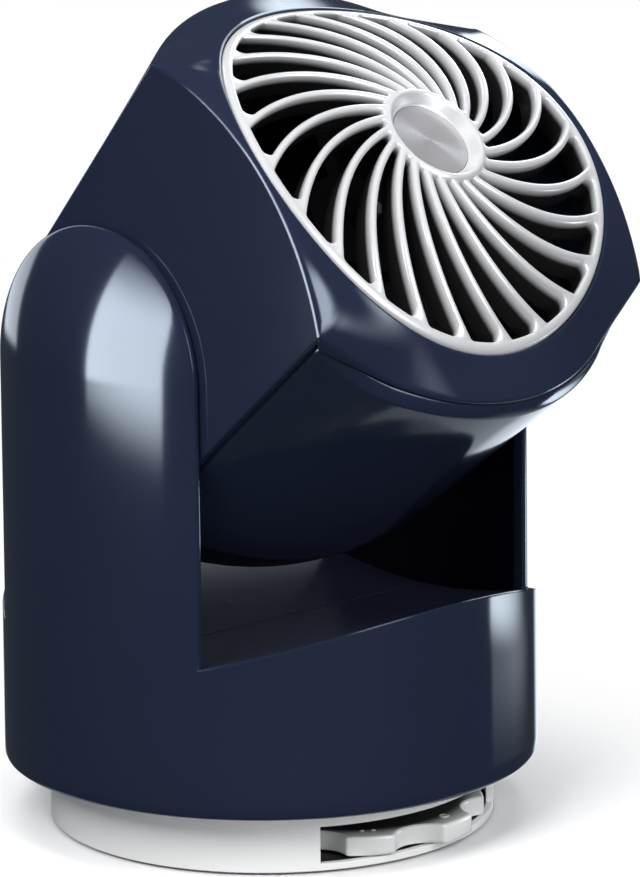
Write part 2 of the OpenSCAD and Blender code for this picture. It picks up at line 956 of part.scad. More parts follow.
module tilt_bush_right() {
    color(pale_plastic)
        tilt_bush(1);
}

module friction_washers() {
    color([0.3, 0.3, 0.3])
        head_frame()
            for (side = [0, 1])
                mirror([side, 0, 0])
                    difference() {
                        bar_x(washer_r, cheek_x, arm_inner_x - washer_gap);
                        bar_x(pin_r + 4 * shaft_fit, cheek_x - cut, arm_inner_x + cut);
                    }
}

module motor_mount() {
    color(inner_black)
        head_frame() {
            ring(motor_r + mount_cup_wall, motor_r, mount_n, mount_n + mount_l);
            for (i = [0 : spoke_count - 1])
                rotate([0, 0, (i + 0.5) * 360 / spoke_count])
                    intersection() {
                        translate([motor_r + mount_cup_wall / 2, -spoke_w / 2, mount_n + spoke_step])
                            cube([duct_r, spoke_w, mount_l - 2 * spoke_step]);
                        translate([0, 0, mount_n])
                            cylinder(r = duct_r, h = mount_l);
                    }
        }
}

module motor_can() {
    color(steel_grey)
        head_frame() {
            ring(motor_r, motor_r - can_wall, motor_back_n + cap_t, motor_n);
            ring(motor_r - can_wall / 2, bush_r, motor_n - cap_t, motor_n);
        }
}

module motor_cap() {
    color(inner_black)
        head_frame()
            difference() {
                ring(motor_r, bush_r, motor_back_n, motor_back_n + cap_t);
                motor_screw_bars(mount_screw_r, motor_back_n - cut, motor_back_n + cap_t + cut);
            }
}

module motor_bushes() {
    color(brass_tone)
        head_frame() {
            ring(bush_r, shaft_r + shaft_fit, motor_back_n, motor_back_n + bush_l);
            ring(bush_r, shaft_r + shaft_fit, motor_n - bush_l, motor_n);
        }
}

module motor_screws() {
    color(steel_grey)
        head_frame() {
            motor_screw_bars(mount_screw_r - seam_gap, motor_back_n - screw_head_h, motor_back_n + cap_t);
            motor_screw_bars(2 * mount_screw_r, motor_back_n - screw_head_h, motor_back_n);
        }
}

// Two round bars at the places of the motor cap's screws
module motor_screw_bars(r, low, high) {
    for (a = [0, half_turn])
        rotate([0, 0, a])
            translate([motor_r - 2 * can_wall - mount_screw_r, 0, low])
                cylinder(r = r, h = high - low);
}

module cover_screws() {
    color(steel_grey)
        head_frame()
            for (a = cover_screw_angles)
                rotate([0, 0, a])
                    translate([cover_screw_at, 0, flange_n]) {
                        translate([0, 0, -screw_head_h])
                            cylinder(r = cover_screw_head_r, h = screw_head_h);
                        cylinder(r = cover_screw_r, h = cover_screw_l);
                    }
}

module impeller() {
    color(inner_black)
        head_frame() {
            difference() {
                translate([0, 0, impeller_n])
                    cylinder(r = impeller_hub_r, h = impeller_h);
                translate([0, 0, impeller_n - cut])
                    cylinder(r = shaft_r, h = impeller_h + 2 * cut);
            }
            for (i = [0 : blade_count - 1])
                rotate([0, 0, i * 360 / blade_count])
                    blade();
        }
}

// A cambered blade: part of a tube whose axis runs outwards from the hub
module blade() {
    back_y = -blade_curve_r * blade_back_share;
    intersection() {
        difference() {
            translate([0, blade_curve_r + back_y, impeller_n])
                bar_x(blade_curve_r, 0, impeller_r);
            translate([0, blade_curve_r + back_y, impeller_n])
                bar_x(blade_curve_r - blade_t, -cut, impeller_r + cut);
        }
        ring(impeller_r, impeller_hub_r - cut, impeller_n + blade_low, impeller_n + blade_high);
        translate([0, back_y - cut, impeller_n])
            cube([impeller_r, blade_curve_r, impeller_h]);
    }
}

module impeller_nut() {
    color(brass_tone)
        head_frame()
            ring(nut_r, shaft_r, impeller_n + impeller_h, impeller_n + impeller_h + nut_h);
}

module motor_shaft() {
    color(steel_grey)
        head_frame()
            translate([0, 0, shaft_back_n])
                cylinder(r = shaft_r, h = shaft_front_n - shaft_back_n);
}

module armature() {
    color(brass_tone)
        head_frame()
            ring(armature_r, shaft_r, armature_n, armature_n + armature_l);
}

plinth_ring();
base_plate();
non_slip_pad();
base_screws();
cord_inlet();
swivel_washer();
contact_board();
speed_dial();
wiper_contact();
yoke_shell();
yoke_floor();
saddle_front();
saddle_rear();
ballast_disc();
swivel_retainer();
yoke_screws();
arm_liner_left();
arm_liner_right();
tilt_pin_left();
tilt_pin_right();
front_cover();
barrel();
rear_grille();
swirl_grille();
hub_badge();
tilt_bush_left();
tilt_bush_right();
friction_washers();
motor_mount();
motor_can();
motor_cap();
motor_bushes();
motor_screws();
cover_screws();
impeller();
impeller_nut();
motor_shaft();
armature();
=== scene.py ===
import bpy, bmesh, math
import numpy as np
from mathutils import Vector, Matrix


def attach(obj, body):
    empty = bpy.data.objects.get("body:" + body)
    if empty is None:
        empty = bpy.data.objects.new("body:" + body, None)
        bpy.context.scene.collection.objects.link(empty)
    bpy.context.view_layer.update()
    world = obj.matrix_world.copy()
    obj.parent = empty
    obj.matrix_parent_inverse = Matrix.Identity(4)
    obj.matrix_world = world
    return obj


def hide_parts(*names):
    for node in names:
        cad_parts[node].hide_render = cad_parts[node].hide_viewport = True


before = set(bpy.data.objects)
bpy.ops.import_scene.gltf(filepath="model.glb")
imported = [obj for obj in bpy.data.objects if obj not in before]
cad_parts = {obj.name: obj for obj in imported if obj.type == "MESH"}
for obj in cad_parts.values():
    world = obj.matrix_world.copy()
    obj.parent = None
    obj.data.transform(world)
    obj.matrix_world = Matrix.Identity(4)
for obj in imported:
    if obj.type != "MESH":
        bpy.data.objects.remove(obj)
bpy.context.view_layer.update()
MM = 0.001

# -------- measures, in mm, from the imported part
# Tilt of the airflow; heights of the tilt axis and of the column's foot
TILT, PIVOT, FOOT = math.radians(44.0), 97.4, 13.8
# Column: radius at the tilt axis, growth down to the foot, wall; arms: inner face, arch, pocket of the liner
BODY, TAPER, WALL = 54.0, 0.8, 2.2
ARM_X, ARCH, POCKET_R = 44.4, 29.0, 26.53
# Curved floor between the arms
FLOOR_Z, FLOOR_R = 40.0, 120.0
# Front cover: flat cheeks, then the bezel and the seat of the grille
CHEEK_X, CHEEK_R, CHEEK_FRONT, CHEEK_WALL, FLARE = 43.9, 28.6, 63.5, 1.7, math.radians(4.1)
CHEEK_V = CHEEK_FRONT * math.sin(FLARE + math.asin(CHEEK_R / CHEEK_FRONT))
BEZEL_R, BEZEL_N = 50.55, 48.9
SEAT_R, SEAT_DEPTH = 42.42, 6.0
# Barrel: half width, belly, rim, corners beside the cheeks, air duct, rear end
HALF, BELLY, BELLY_END = 42.05, 44.8, 29.4
RIM_R, RIM_N, FRONT_R, FRONT_N = 52.1, 46.4, 50.69, 48.6
CORNER_V, CORNER_N = CHEEK_V + 0.8, 51.2
DUCT, SPLIT = 40.4, 14.0
# Grille: ring, its saddle, crown, vanes, hub and badge seat
RING_R, RING_W, RING_N, SADDLE, RISE = 42.2, 2.0, 63.4, 95.2, 4.4
CREST_N = RING_N + RISE
CREST_A = (RING_R ** 2 + RISE ** 2) / (2 * RISE)
CREST_DROP = CREST_N - (RING_N - SADDLE + math.sqrt(SADDLE ** 2 - RING_R ** 2))
CREST_T = (RING_R ** 2 + CREST_DROP ** 2) / (2 * CREST_DROP)
VANES, VANE_R, VANE_C, VANE_TURN = 24, 34.3, 30.7, math.radians(221.0)
VANE_HALF, HUB_FILLET, RING_FILLET = 0.78, 0.5, 1.2
HUB_R, HUB_N, BADGE_R = 11.3, CREST_N - 0.3, 8.35
# Rounded lip of a vane or ring side: distance in from the side, height below the crest
LIP = ((0.05, -2.6), (0.0, -0.95), (0.07, -0.55), (0.22, -0.27), (0.45, -0.09))


def head(x, v, n):
    """Head coordinates (across, up the face, along the airflow) to the shared frame, in mm."""
    x, v, n = np.broadcast_arrays(np.asarray(x, float), np.asarray(v, float), np.asarray(n, float))
    s, c = math.sin(TILT), math.cos(TILT)
    return np.stack([x, s * v - c * n, PIVOT + c * v + s * n], -1)


def at_head(points):
    """An array of head coordinates in the shared frame."""
    return head(points[..., 0], points[..., 1], points[..., 2])


def growth(z):
    """Growth of the column's radius at height z."""
    return TAPER * (PIVOT - np.asarray(z, float)) / (PIVOT - FOOT)


def floor_at(y):
    """Height of the curved floor at y."""
    return FLOOR_Z + FLOOR_R - np.sqrt(FLOOR_R ** 2 - np.asarray(y, float) ** 2)


def spin(profile, count, centre=(0.0, 0.0)):
    """A profile of radii and heights, turned round an upright axis in count steps."""
    turns = np.linspace(0, 2 * math.pi, count + 1)[:-1]
    return np.array([[(centre[0] + r * math.cos(t), centre[1] + r * math.sin(t), h) for r, h in profile]
                     for t in turns])


# -------- mesh helper
class Shape:
    """Sheets and faces that become one mesh."""

    def __init__(self):
        # Points, faces and each face's material slot
        self.v, self.f, self.m = [], [], []

    def grid(self, P, inside, wrap=False, mat=0, probe=None):
        """A sheet of quads over P[i, j] that faces away from the point inside, judged at the quad probe."""
        P = np.asarray(P, float)
        nu, nv = P.shape[:2]
        base = len(self.v)
        self.v.extend(map(tuple, P.reshape(-1, 3)))
        i, j = probe or (nu // 2, nv // 2)
        i, j = min(i, nu - 2), min(j, nv - 2)
        normal = np.cross(P[i + 1, j] - P[i, j], P[i, j + 1] - P[i, j])
        flip = float(np.dot(normal, P[i, j] - np.asarray(inside, float))) < 0
        for i in range(nu if wrap else nu - 1):
            k = (i + 1) % nu
            for j in range(nv - 1):
                q = (base + i * nv + j, base + k * nv + j, base + k * nv + j + 1, base + i * nv + j + 1)
                self.f.append(q[::-1] if flip else q)
                self.m.append(mat)

    def face(self, pts, inside):
        """One flat face that faces away from the point inside."""
        pts = np.asarray(pts, float)
        base = len(self.v)
        self.v.extend(map(tuple, pts))
        c = pts.mean(0)
        k = len(pts) // 3
        normal = np.cross(pts[k] - pts[0], pts[2 * k] - pts[0])
        idx = list(range(base, base + len(pts)))
        if float(np.dot(normal, c - np.asarray(inside, float))) < 0:
            idx.reverse()
        self.f.append(tuple(idx))
        self.m.append(0)

    def mesh(self, name, angle=38.0):
        """The mesh in metres, welded, with edges sharper than angle kept sharp and the flat faces flat."""
        me = bpy.data.meshes.new(name)
        me.from_pydata([tuple(np.asarray(p) * MM) for p in self.v], [], self.f)
        me.polygons.foreach_set("material_index", self.m)
        bm = bmesh.new()
        bm.from_mesh(me)
        bmesh.ops.remove_doubles(bm, verts=bm.verts, dist=2e-6)
        bmesh.ops.dissolve_degenerate(bm, edges=bm.edges, dist=1e-6)
        bm.to_mesh(me)
        bm.free()
        me.set_sharp_from_angle(angle=math.radians(angle))
        me.polygons.foreach_set("use_smooth", [len(f.vertices) < 5 for f in me.polygons])
        me.update()
        return me


def put(ob):
    """Links an object to the scene."""
    bpy.context.scene.collection.objects.link(ob)
    return ob


def piece(name, me, body, mats, slot, *nodes):
    """A finished skin that rides on a body in place of its CAD nodes."""
    for m in mats:
        me.materials.append(m)
    ob = put(bpy.data.objects.new(name, me))
    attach(ob, body)
    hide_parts(*nodes)


# -------- shader groups and materials
def sockets(tree, way, kind, **values):
    """Named sockets of a group, all of one kind; an underscore in a name stands for a space."""
    for name, value in values.items():
        s = tree.interface.new_socket(name=name.replace("_", " "), in_out=way, socket_type="NodeSocket" + kind)
        if value is not None:
            s.default_value = value


def link(tree, a, b):
    """Joins an output to an input."""
    tree.links.new(a, b)


def feed(tree, x, into):
    """Gives an input a plain value, or a link from another node."""
    if isinstance(x, (int, float, tuple)):
        into.default_value = x
    elif x is not None:
        link(tree, x, into)


def math_node(tree, op, a, b=None, c=None):
    """One step of arithmetic on numbers or sockets."""
    n = tree.nodes.new("ShaderNodeMath")
    n.operation = op
    for x, into in zip((a, b, c), n.inputs):
        feed(tree, x, into)
    return n.outputs[0]


def vector_node(tree, op, a, b=None):
    """One step of vector arithmetic; the result is a number for LENGTH."""
    n = tree.nodes.new("ShaderNodeVectorMath")
    n.operation = op
    feed(tree, a, n.inputs[0])
    feed(tree, b, n.inputs["Scale"] if op == "SCALE" else n.inputs[1])
    return n.outputs["Value" if op == "LENGTH" else "Vector"]


def smooth_range(tree, value, **ends):
    """A smooth step between two ends, each a number or a socket."""
    r = tree.nodes.new("ShaderNodeMapRange")
    r.interpolation_type = "SMOOTHSTEP"
    link(tree, value, r.inputs["Value"])
    for name, x in ends.items():
        feed(tree, x, r.inputs[name.replace("_", " ")])
    return r.outputs[0]


def mix_shader(tree, share, first, second):
    """Mixes two shaders; share is the second one's part."""
    n = tree.nodes.new("ShaderNodeMixShader")
    for x, into in zip((share, first, second), n.inputs):
        link(tree, x, into)
    return n.outputs[0]


def noise_node(tree, vector, **values):
    """Noise over a place, with its inputs by name."""
    n = tree.nodes.new("ShaderNodeTexNoise")
    feed(tree, vector, n.inputs["Vector"])
    for name, x in values.items():
        feed(tree, x, n.inputs[name])
    return n


def mould_group():
    """Moulded plastic: fine grain normal, slow tone drift and faint wipe marks."""
    g = bpy.data.node_groups.new("moulded_surface", "ShaderNodeTree")
    sockets(g, "INPUT", "Float", Grain_Scale=900.0, Grain_Depth=0.05, Edge_Radius=0.0003)
    sockets(g, "OUTPUT", "Float", Tone=None, Wipes=None)
    sockets(g, "OUTPUT", "Vector", Normal=None)
    gi, go = g.nodes.new("NodeGroupInput"), g.nodes.new("NodeGroupOutput")
    place = g.nodes.new("ShaderNodeTexCoord").outputs["Object"]
    squash = g.nodes.new("ShaderNodeMapping")
    squash.inputs["Scale"].default_value = (1.0, 1.0, 0.25)
    link(g, place, squash.inputs["Vector"])
    drift = noise_node(g, place, Scale=28.0, Detail=3.0)
    wipes = noise_node(g, squash.outputs[0], Scale=90.0, Detail=6.0, Distortion=1.6)
    grain = noise_node(g, place, Scale=gi.outputs["Grain Scale"], Detail=2.0)
    bevel = g.nodes.new("ShaderNodeBevel")
    bevel.samples = 6
    link(g, gi.outputs["Edge Radius"], bevel.inputs["Radius"])
    bump = g.nodes.new("ShaderNodeBump")
    bump.inputs["Distance"].default_value = 0.00004
    link(g, gi.outputs["Grain Depth"], bump.inputs["Strength"])
    link(g, grain.outputs["Fac"], bump.inputs["Height"])
    link(g, bevel.outputs[0], bump.inputs["Normal"])
    link(g, drift.outputs["Fac"], go.inputs["Tone"])
    link(g, wipes.outputs["Fac"], go.inputs["Wipes"])
    link(g, bump.outputs[0], go.inputs["Normal"])
    return g


def brush_group():
    """Brushed metal: turning marks round an axis through a centre point."""
    g = bpy.data.node_groups.new("turned_metal", "ShaderNodeTree")
    sockets(g, "INPUT", "Vector", Centre=None)
    sockets(g, "INPUT", "Float", Marks=5200.0, Depth=0.25)
    sockets(g, "OUTPUT", "Float", Rings=None)
    sockets(g, "OUTPUT", "Vector", Normal=None)
    gi, go = g.nodes.new("NodeGroupInput"), g.nodes.new("NodeGroupOutput")
    off = vector_node(g, "SUBTRACT", g.nodes.new("ShaderNodeTexCoord").outputs["Object"], gi.outputs["Centre"])
    noise = noise_node(g, None, Detail=4.0, Scale=gi.outputs["Marks"])
    noise.noise_dimensions = "1D"
    link(g, vector_node(g, "LENGTH", off), noise.inputs["W"])
    bump = g.nodes.new("ShaderNodeBump")
    bump.inputs["Distance"].default_value = 0.00005
    link(g, gi.outputs["Depth"], bump.inputs["Strength"])
    link(g, noise.outputs["Fac"], bump.inputs["Height"])
    link(g, noise.outputs["Fac"], go.inputs["Rings"])
    link(g, bump.outputs[0], go.inputs["Normal"])
    return g


MOULD, BRUSH = mould_group(), brush_group()


def two_tone(name, group, settings, tone, wear, low, high, rough, spread, metallic, spec):
    """A material between two tones that follow the group's mask tone; its mask wear moves rough by spread."""
    m = bpy.data.materials.new(name)
    m.use_nodes = True
    t = m.node_tree
    p = t.nodes["Principled BSDF"]
    g = t.nodes.new("ShaderNodeGroup")
    g.node_tree = group
    for k, v in settings.items():
        g.inputs[k].default_value = v
    ramp = t.nodes.new("ShaderNodeValToRGB")
    for stop, place, colour in zip(ramp.color_ramp.elements, (0.3, 0.7), (low, high)):
        stop.position, stop.color = place, (*colour, 1.0)
    link(t, g.outputs[tone], ramp.inputs[0])
    link(t, ramp.outputs[0], p.inputs["Base Color"])
    link(t, math_node(t, "ADD", math_node(t, "MULTIPLY", g.outputs[wear], 2 * spread), rough - spread),
         p.inputs["Roughness"])
    link(t, g.outputs["Normal"], p.inputs["Normal"])
    p.inputs["Metallic"].default_value = metallic
    p.inputs["Specular IOR Level"].default_value = spec
    return m


def plastic(name, low, high, rough, spread, grain=(900.0, 0.05), edge=0.0003, metallic=0.0, spec=0.5):
    """A moulded plastic; grain is its scale and depth, edge the radius that light sees on sharp edges."""
    settings = {"Grain Scale": grain[0], "Grain Depth": grain[1], "Edge Radius": edge}
    return two_tone(name, MOULD, settings, "Tone", "Wipes", low, high, rough, spread, metallic, spec)


def turned(name, low, high, rough, centre, depth, marks, metallic=1.0):
    """A metal with turning marks round a centre."""
    settings = {"Centre": centre, "Depth": depth, "Marks": marks}
    return two_tone(name, BRUSH, settings, "Rings", "Rings", low, high, rough, 0.08, metallic, 0.5)


def fade_down(m, near, far, left):
    """Darkens a material with its depth in mm, below the vane crests or in from the dial's tips, from near to far:
    painted shade in the grille's slots and the dial's recess, on the grille partly also silver paint that thins down
    the sides.
    """
    t = m.node_tree
    p = t.nodes["Principled BSDF"]
    at = t.nodes.new("ShaderNodeAttribute")
    at.attribute_name = "depth"
    share = smooth_range(t, at.outputs["Fac"], From_Min=near, From_Max=far, To_Min=1.0, To_Max=left)
    link(t, vector_node(t, "SCALE", p.inputs["Base Color"].links[0].from_socket, share), p.inputs["Base Color"])
    link(t, math_node(t, "MULTIPLY", share, p.inputs["Metallic"].default_value), p.inputs["Metallic"])


def spun(m, centre, axis, amount):
    """Turns a metal's shine round an axis, as on a disc brushed in circles."""
    t = m.node_tree
    p = t.nodes["Principled BSDF"]
    off = vector_node(t, "SUBTRACT", t.nodes.new("ShaderNodeTexCoord").outputs["Object"], centre)
    link(t, vector_node(t, "NORMALIZE", vector_node(t, "CROSS_PRODUCT", axis, off)), p.inputs["Tangent"])
    p.inputs["Anisotropic"].default_value = amount


HEAD_AXIS = tuple(head(0, 0, 60)[k] * MM for k in range(3))
navy = plastic("navy_gloss", (0.0104, 0.0152, 0.0325), (0.0122, 0.0174, 0.0365), 0.10, 0.015, (1400.0, 0.02), 0.0004)
# The saddles' matte navy is lighter than the gloss navy to make up for the shade under the head: painted light
navy_flat = plastic("navy_floor_painted_light", (0.019, 0.0195, 0.043), (0.021, 0.0215, 0.047), 0.26, 0.03, (1200.0, 0.04),
                    spec=0.08)
# Black for the base plate, cord inlet, hidden floor and rear grille; on the barrel's duct it is painted shade inside
# the navy moulding
black = plastic("inner_black", (0.004, 0.004, 0.006), (0.006, 0.006, 0.008), 0.5, 0.06, (800.0, 0.12), 0.0002)
# Near-black for the motor parts inside the duct: painted shade there
shade = plastic("motor_painted_shade", (0.0015, 0.0015, 0.002), (0.003, 0.003, 0.0035), 0.6, 0.06, (800.0, 0.12), 0.0002,
                spec=0.1)
silver = plastic("silver_grille", (0.60, 0.60, 0.61), (0.67, 0.67, 0.68), 0.24, 0.03, (1600.0, 0.03), 0.00025,
                 metallic=0.35)
pale = plastic("pale_ring", (0.89, 0.89, 0.88), (0.93, 0.93, 0.92), 0.3, 0.04, (1300.0, 0.04))
dial_mat = plastic("dial_silver", (0.84, 0.85, 0.84), (0.90, 0.91, 0.90), 0.22, 0.04, (1300.0, 0.03), 0.0004,
                   metallic=0.1)
# Near-black liner inside the arms: painted shade of the arms' inner faces, not the navy of the moulding
liner = plastic("liner_painted_shade", (0.0012, 0.0012, 0.005), (0.002, 0.002, 0.007), 0.3, 0.03, (1200.0, 0.04), spec=0.2)
rubber = plastic("soft_rubber", (0.012, 0.012, 0.012), (0.02, 0.02, 0.02), 0.8, 0.06, (500.0, 0.3))
fibre = plastic("fibre", (0.06, 0.055, 0.05), (0.09, 0.08, 0.07), 0.75, 0.08, (700.0, 0.3))
board = plastic("board_resin", (0.01, 0.07, 0.03), (0.015, 0.09, 0.04), 0.45, 0.06)
bush_mat = plastic("bush_pale", (0.62, 0.61, 0.57), (0.7, 0.69, 0.65), 0.4, 0.05)
steel = turned("zinc_steel", (0.42, 0.43, 0.45), (0.56, 0.57, 0.59), 0.32, (0.0, 0.0, 0.0), 0.15, 3000.0)
iron = plastic("raw_casting", (0.02, 0.02, 0.021), (0.04, 0.04, 0.042), 0.62, 0.08, (420.0, 0.5), metallic=0.7)
brass = turned("plain_brass", (0.55, 0.40, 0.16), (0.66, 0.50, 0.22), 0.3, HEAD_AXIS, 0.12, 3000.0)
copper = turned("wound_copper", (0.30, 0.10, 0.04), (0.50, 0.19, 0.08), 0.36, HEAD_AXIS, 0.8, 1500.0)
badge = turned("brushed_disc", (0.60, 0.585, 0.60), (0.74, 0.725, 0.74), 0.34, HEAD_AXIS, 0.05, 9000.0, 0.74)
spun(badge, HEAD_AXIS, (0.0, -math.cos(TILT), math.sin(TILT)), 0.8)
# The grille's silver goes to black down the vane and ring sides: partly paint that thins with depth, partly painted
# shade in the slots
fade_down(silver, 0.7, 2.6, 0.02)
# The dial's top goes dark inward from its tips: painted shade of the recess behind the plinth's window
fade_down(dial_mat, 1.2, 5.5, 0.03)

NODE_MATERIAL = {
    pale: ["plinth_ring", "swivel_washer"], dial_mat: ["speed_dial"], bush_mat: ["tilt_bush_left", "tilt_bush_right"],
    black: ["base_plate", "cord_inlet", "yoke_floor", "rear_grille"],
    # the motor parts take the duct's painted shade
    shade: ["motor_mount", "motor_cap", "impeller", "motor_can", "motor_screws", "impeller_nut"],
    rubber: ["non_slip_pad"], fibre: ["friction_washers"], board: ["contact_board"],
    steel: ["base_screws", "swivel_retainer", "yoke_screws", "tilt_pin_left", "tilt_pin_right", "cover_screws",
            "motor_shaft"],
    brass: ["wiper_contact", "motor_bushes"], copper: ["armature"], iron: ["ballast_disc"],
    # arm liners: painted shade
    # saddles: navy lightened as painted light
    navy_flat: ["saddle_front", "saddle_rear"], liner: ["arm_liner_left", "arm_liner_right"],
    navy: ["yoke_shell", "front_cover", "barrel"], silver: ["swirl_grille"], badge: ["hub_badge"],
}
for mat, names in NODE_MATERIAL.items():
    for n in names:
        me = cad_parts[n].data
        me.materials.clear()
        me.materials.append(mat)

# -------- yoke shell
yoke = Shape()
# Where the arms' straight edges meet the column
SHOULDER_Z = float(floor_at(ARCH))
SHOULDER_R = float(BODY + growth(SHOULDER_Z))
ARM_STEPS = np.concatenate([np.linspace(0, 24, 17), [26, 27.4, 28.3]])
EDGE_X = math.sqrt(BODY ** 2 - ARCH ** 2)
# Arm profile after the dome, over the rounded edge of the arch, across its end and down the inner face into the
# liner's pocket: distance from the tilt axis, x, share of the column's growth
ARM_EDGE = [
    (ARCH - 0.28, EDGE_X + 0.155, 1.0), (ARCH - 0.07, EDGE_X - 0.05, 1.0), (ARCH, EDGE_X - 0.3, 1.0),
    (ARCH, ARM_X + 0.25, 0.0), (ARCH - 0.07, ARM_X + 0.08, 0.0), (ARCH - 0.25, ARM_X, 0.0),
    (POCKET_R + 0.09, ARM_X, 0.0), (POCKET_R + 0.01, ARM_X + 0.1, 0.0), (POCKET_R, ARM_X + 1.5, 0.0),
]
# The inner face goes on a little under the saddle
UNDER_FLOOR = FLOOR_Z - 1.5


def arm(side):
    """One arm: up its front edge, round the arch over the tilt axis, and down its rear edge."""
    profile = [(r, None, 0.0) for r in ARM_STEPS] + ARM_EDGE
    rise = np.linspace(0, 1, 22)
    path = [(-1, t) for t in rise[:-1]] + [(0, a) for a in np.linspace(math.pi, 0, 61)]
    path += [(1, t) for t in rise[-2::-1]]
    P = np.zeros((len(path), len(profile), 3))
    for i, (way, t) in enumerate(path):
        for j, (rho, x, taper) in enumerate(profile):
            if way == 0:
                y, z, grown = rho * math.cos(t), PIVOT + rho * math.sin(t), 0.0
            else:
                low = SHOULDER_Z if x is None or rho == ARCH or taper else UNDER_FLOOR
                y, z = way * rho, low + (PIVOT - low) * t
                grown = float(growth(z))
            reach = math.sqrt((BODY + grown) ** 2 - rho ** 2) if x is None else x + grown * taper
            P[i, j] = side * reach, y, z
    yoke.grid(P, inside=(0, 0, 80), probe=(30, 4))


for side in (-1, 1):
    arm(side)

# Foot of the column, from inside the wall round the edge and up: distance out from its radius, height
FOOT_STEPS = ((-WALL, 2.8), (-WALL, 0.0), (-1.1, 0.0), (-0.6, 0.12), (-0.2, 0.45), (-0.02, 1.0))
# Rounded top edge between the arms: distance in from a side of the wall, distance down
LIP_STEPS = ((0.0, 0.35), (0.07, 0.12), (0.3, 0.0))
corner = math.asin(ARCH / SHOULDER_R)
phi_arm = np.arcsin(np.concatenate([[-ARCH], -ARM_STEPS[::-1], ARM_STEPS[1:], [ARCH]]) / SHOULDER_R)
phi_front = np.linspace(corner, math.pi - corner, 140)
rows = []
for f in np.concatenate([phi_arm, phi_front[1:-1], math.pi + phi_arm, math.pi + phi_front[1:-1]]):
    y = abs(math.sin(f)) * SHOULDER_R
    top = SHOULDER_Z if y <= ARCH + 0.001 else float(floor_at(y)) - LIP_STEPS[0][1]
    col = [(BODY + TAPER + d, FOOT + h) for d, h in FOOT_STEPS]
    start = col[-1][1]
    for t in np.linspace(0, 1, 14)[1:]:
        z = start + (top - start) * t
        col.append((BODY + float(growth(z)), z))
    rows.append([(r * math.cos(f), r * math.sin(f), z) for r, z in col])
yoke.grid(np.array(rows), inside=(0, 0, 30), wrap=True, probe=(60, 12))
outer_r = BODY + float(growth(50.0))
inner_r = outer_r - WALL
for turn in (0.0, math.pi):
    rows = []
    for f in phi_front:
        outer_z, inner_z = (float(floor_at(r * math.sin(f))) for r in (outer_r, inner_r))
        col = [(outer_r - d, outer_z - h) for d, h in LIP_STEPS]
        col += [(inner_r + d, inner_z - h) for d, h in LIP_STEPS[::-1]] + [(inner_r, inner_z - 5.0)]
        rows.append([(r * math.cos(f + turn), r * math.sin(f + turn), z) for r, z in col])
    yoke.grid(np.array(rows), inside=(0, 0, 0), probe=(60, 2))
piece("yoke_skin", yoke.mesh("yoke_skin"), "yoke", [navy], "navy_plastic", "yoke_shell")

# -------- front cover: bezel and cheeks
cover = Shape()
CHEEK_TOP = math.sqrt(CHEEK_FRONT ** 2 - CHEEK_V ** 2)
# Directions from the airflow axis: the cheek's corner, and the point where the outline joins the bezel's circle
CORNER_A = math.atan2(CHEEK_V, CHEEK_X)
ROUND_A = CORNER_A + math.acos(BEZEL_R / math.hypot(CHEEK_X, CHEEK_V))
# Heights of the bezel's edge and of its seam to the barrel, on the circle and at the corner
EDGE_LOW, EDGE_HIGH = BEZEL_N + 0.6, CHEEK_TOP - 0.15
SEAM_LOW, SEAM_HIGH = BEZEL_N + 0.1, CORNER_N + 0.45
EDGE_ROUND = 0.55
# How far the face swells at the left and the right ear
EAR_SWELL = {-1: 0.95, 1: 0.25}
# Seat of the grille: distance out from its radius, distance under the face
SEAT_STEPS = ((0.0, SEAT_DEPTH), (0.0, 0.45), (0.12, 0.12), (0.45, 0.0))
# Rounded edge of a cheek: distance in from its outline, distance in from its face
CHEEK_STEPS = ((0.45, 0.0), (0.16, 0.08), (0.02, 0.35), (0.0, 0.8), (0.0, CHEEK_WALL))


def eased(k):
    """A straight ramp from 0 to 1 with a soft start."""
    soft = 0.14
    return (k - soft * (1 - math.exp(-k / soft))) / (1 - soft * (1 - math.exp(-1 / soft)))


def bezel_outline(a):
    """Outline of the bezel at an angle from the cheek's direction: radius, edge height, seam height."""
    if a <= CORNER_A:
        v = CHEEK_X * math.tan(a)
        return CHEEK_X / math.cos(a), math.sqrt(CHEEK_FRONT ** 2 - v * v), None
    if a < ROUND_A:
        k = eased(math.tan(ROUND_A - a) / math.tan(ROUND_A - CORNER_A))
        edge, seam = EDGE_LOW + (EDGE_HIGH - EDGE_LOW) * k, SEAM_LOW + (SEAM_HIGH - SEAM_LOW) * k
        return BEZEL_R / math.cos(ROUND_A - a), edge, seam
    return BEZEL_R, EDGE_LOW, SEAM_LOW


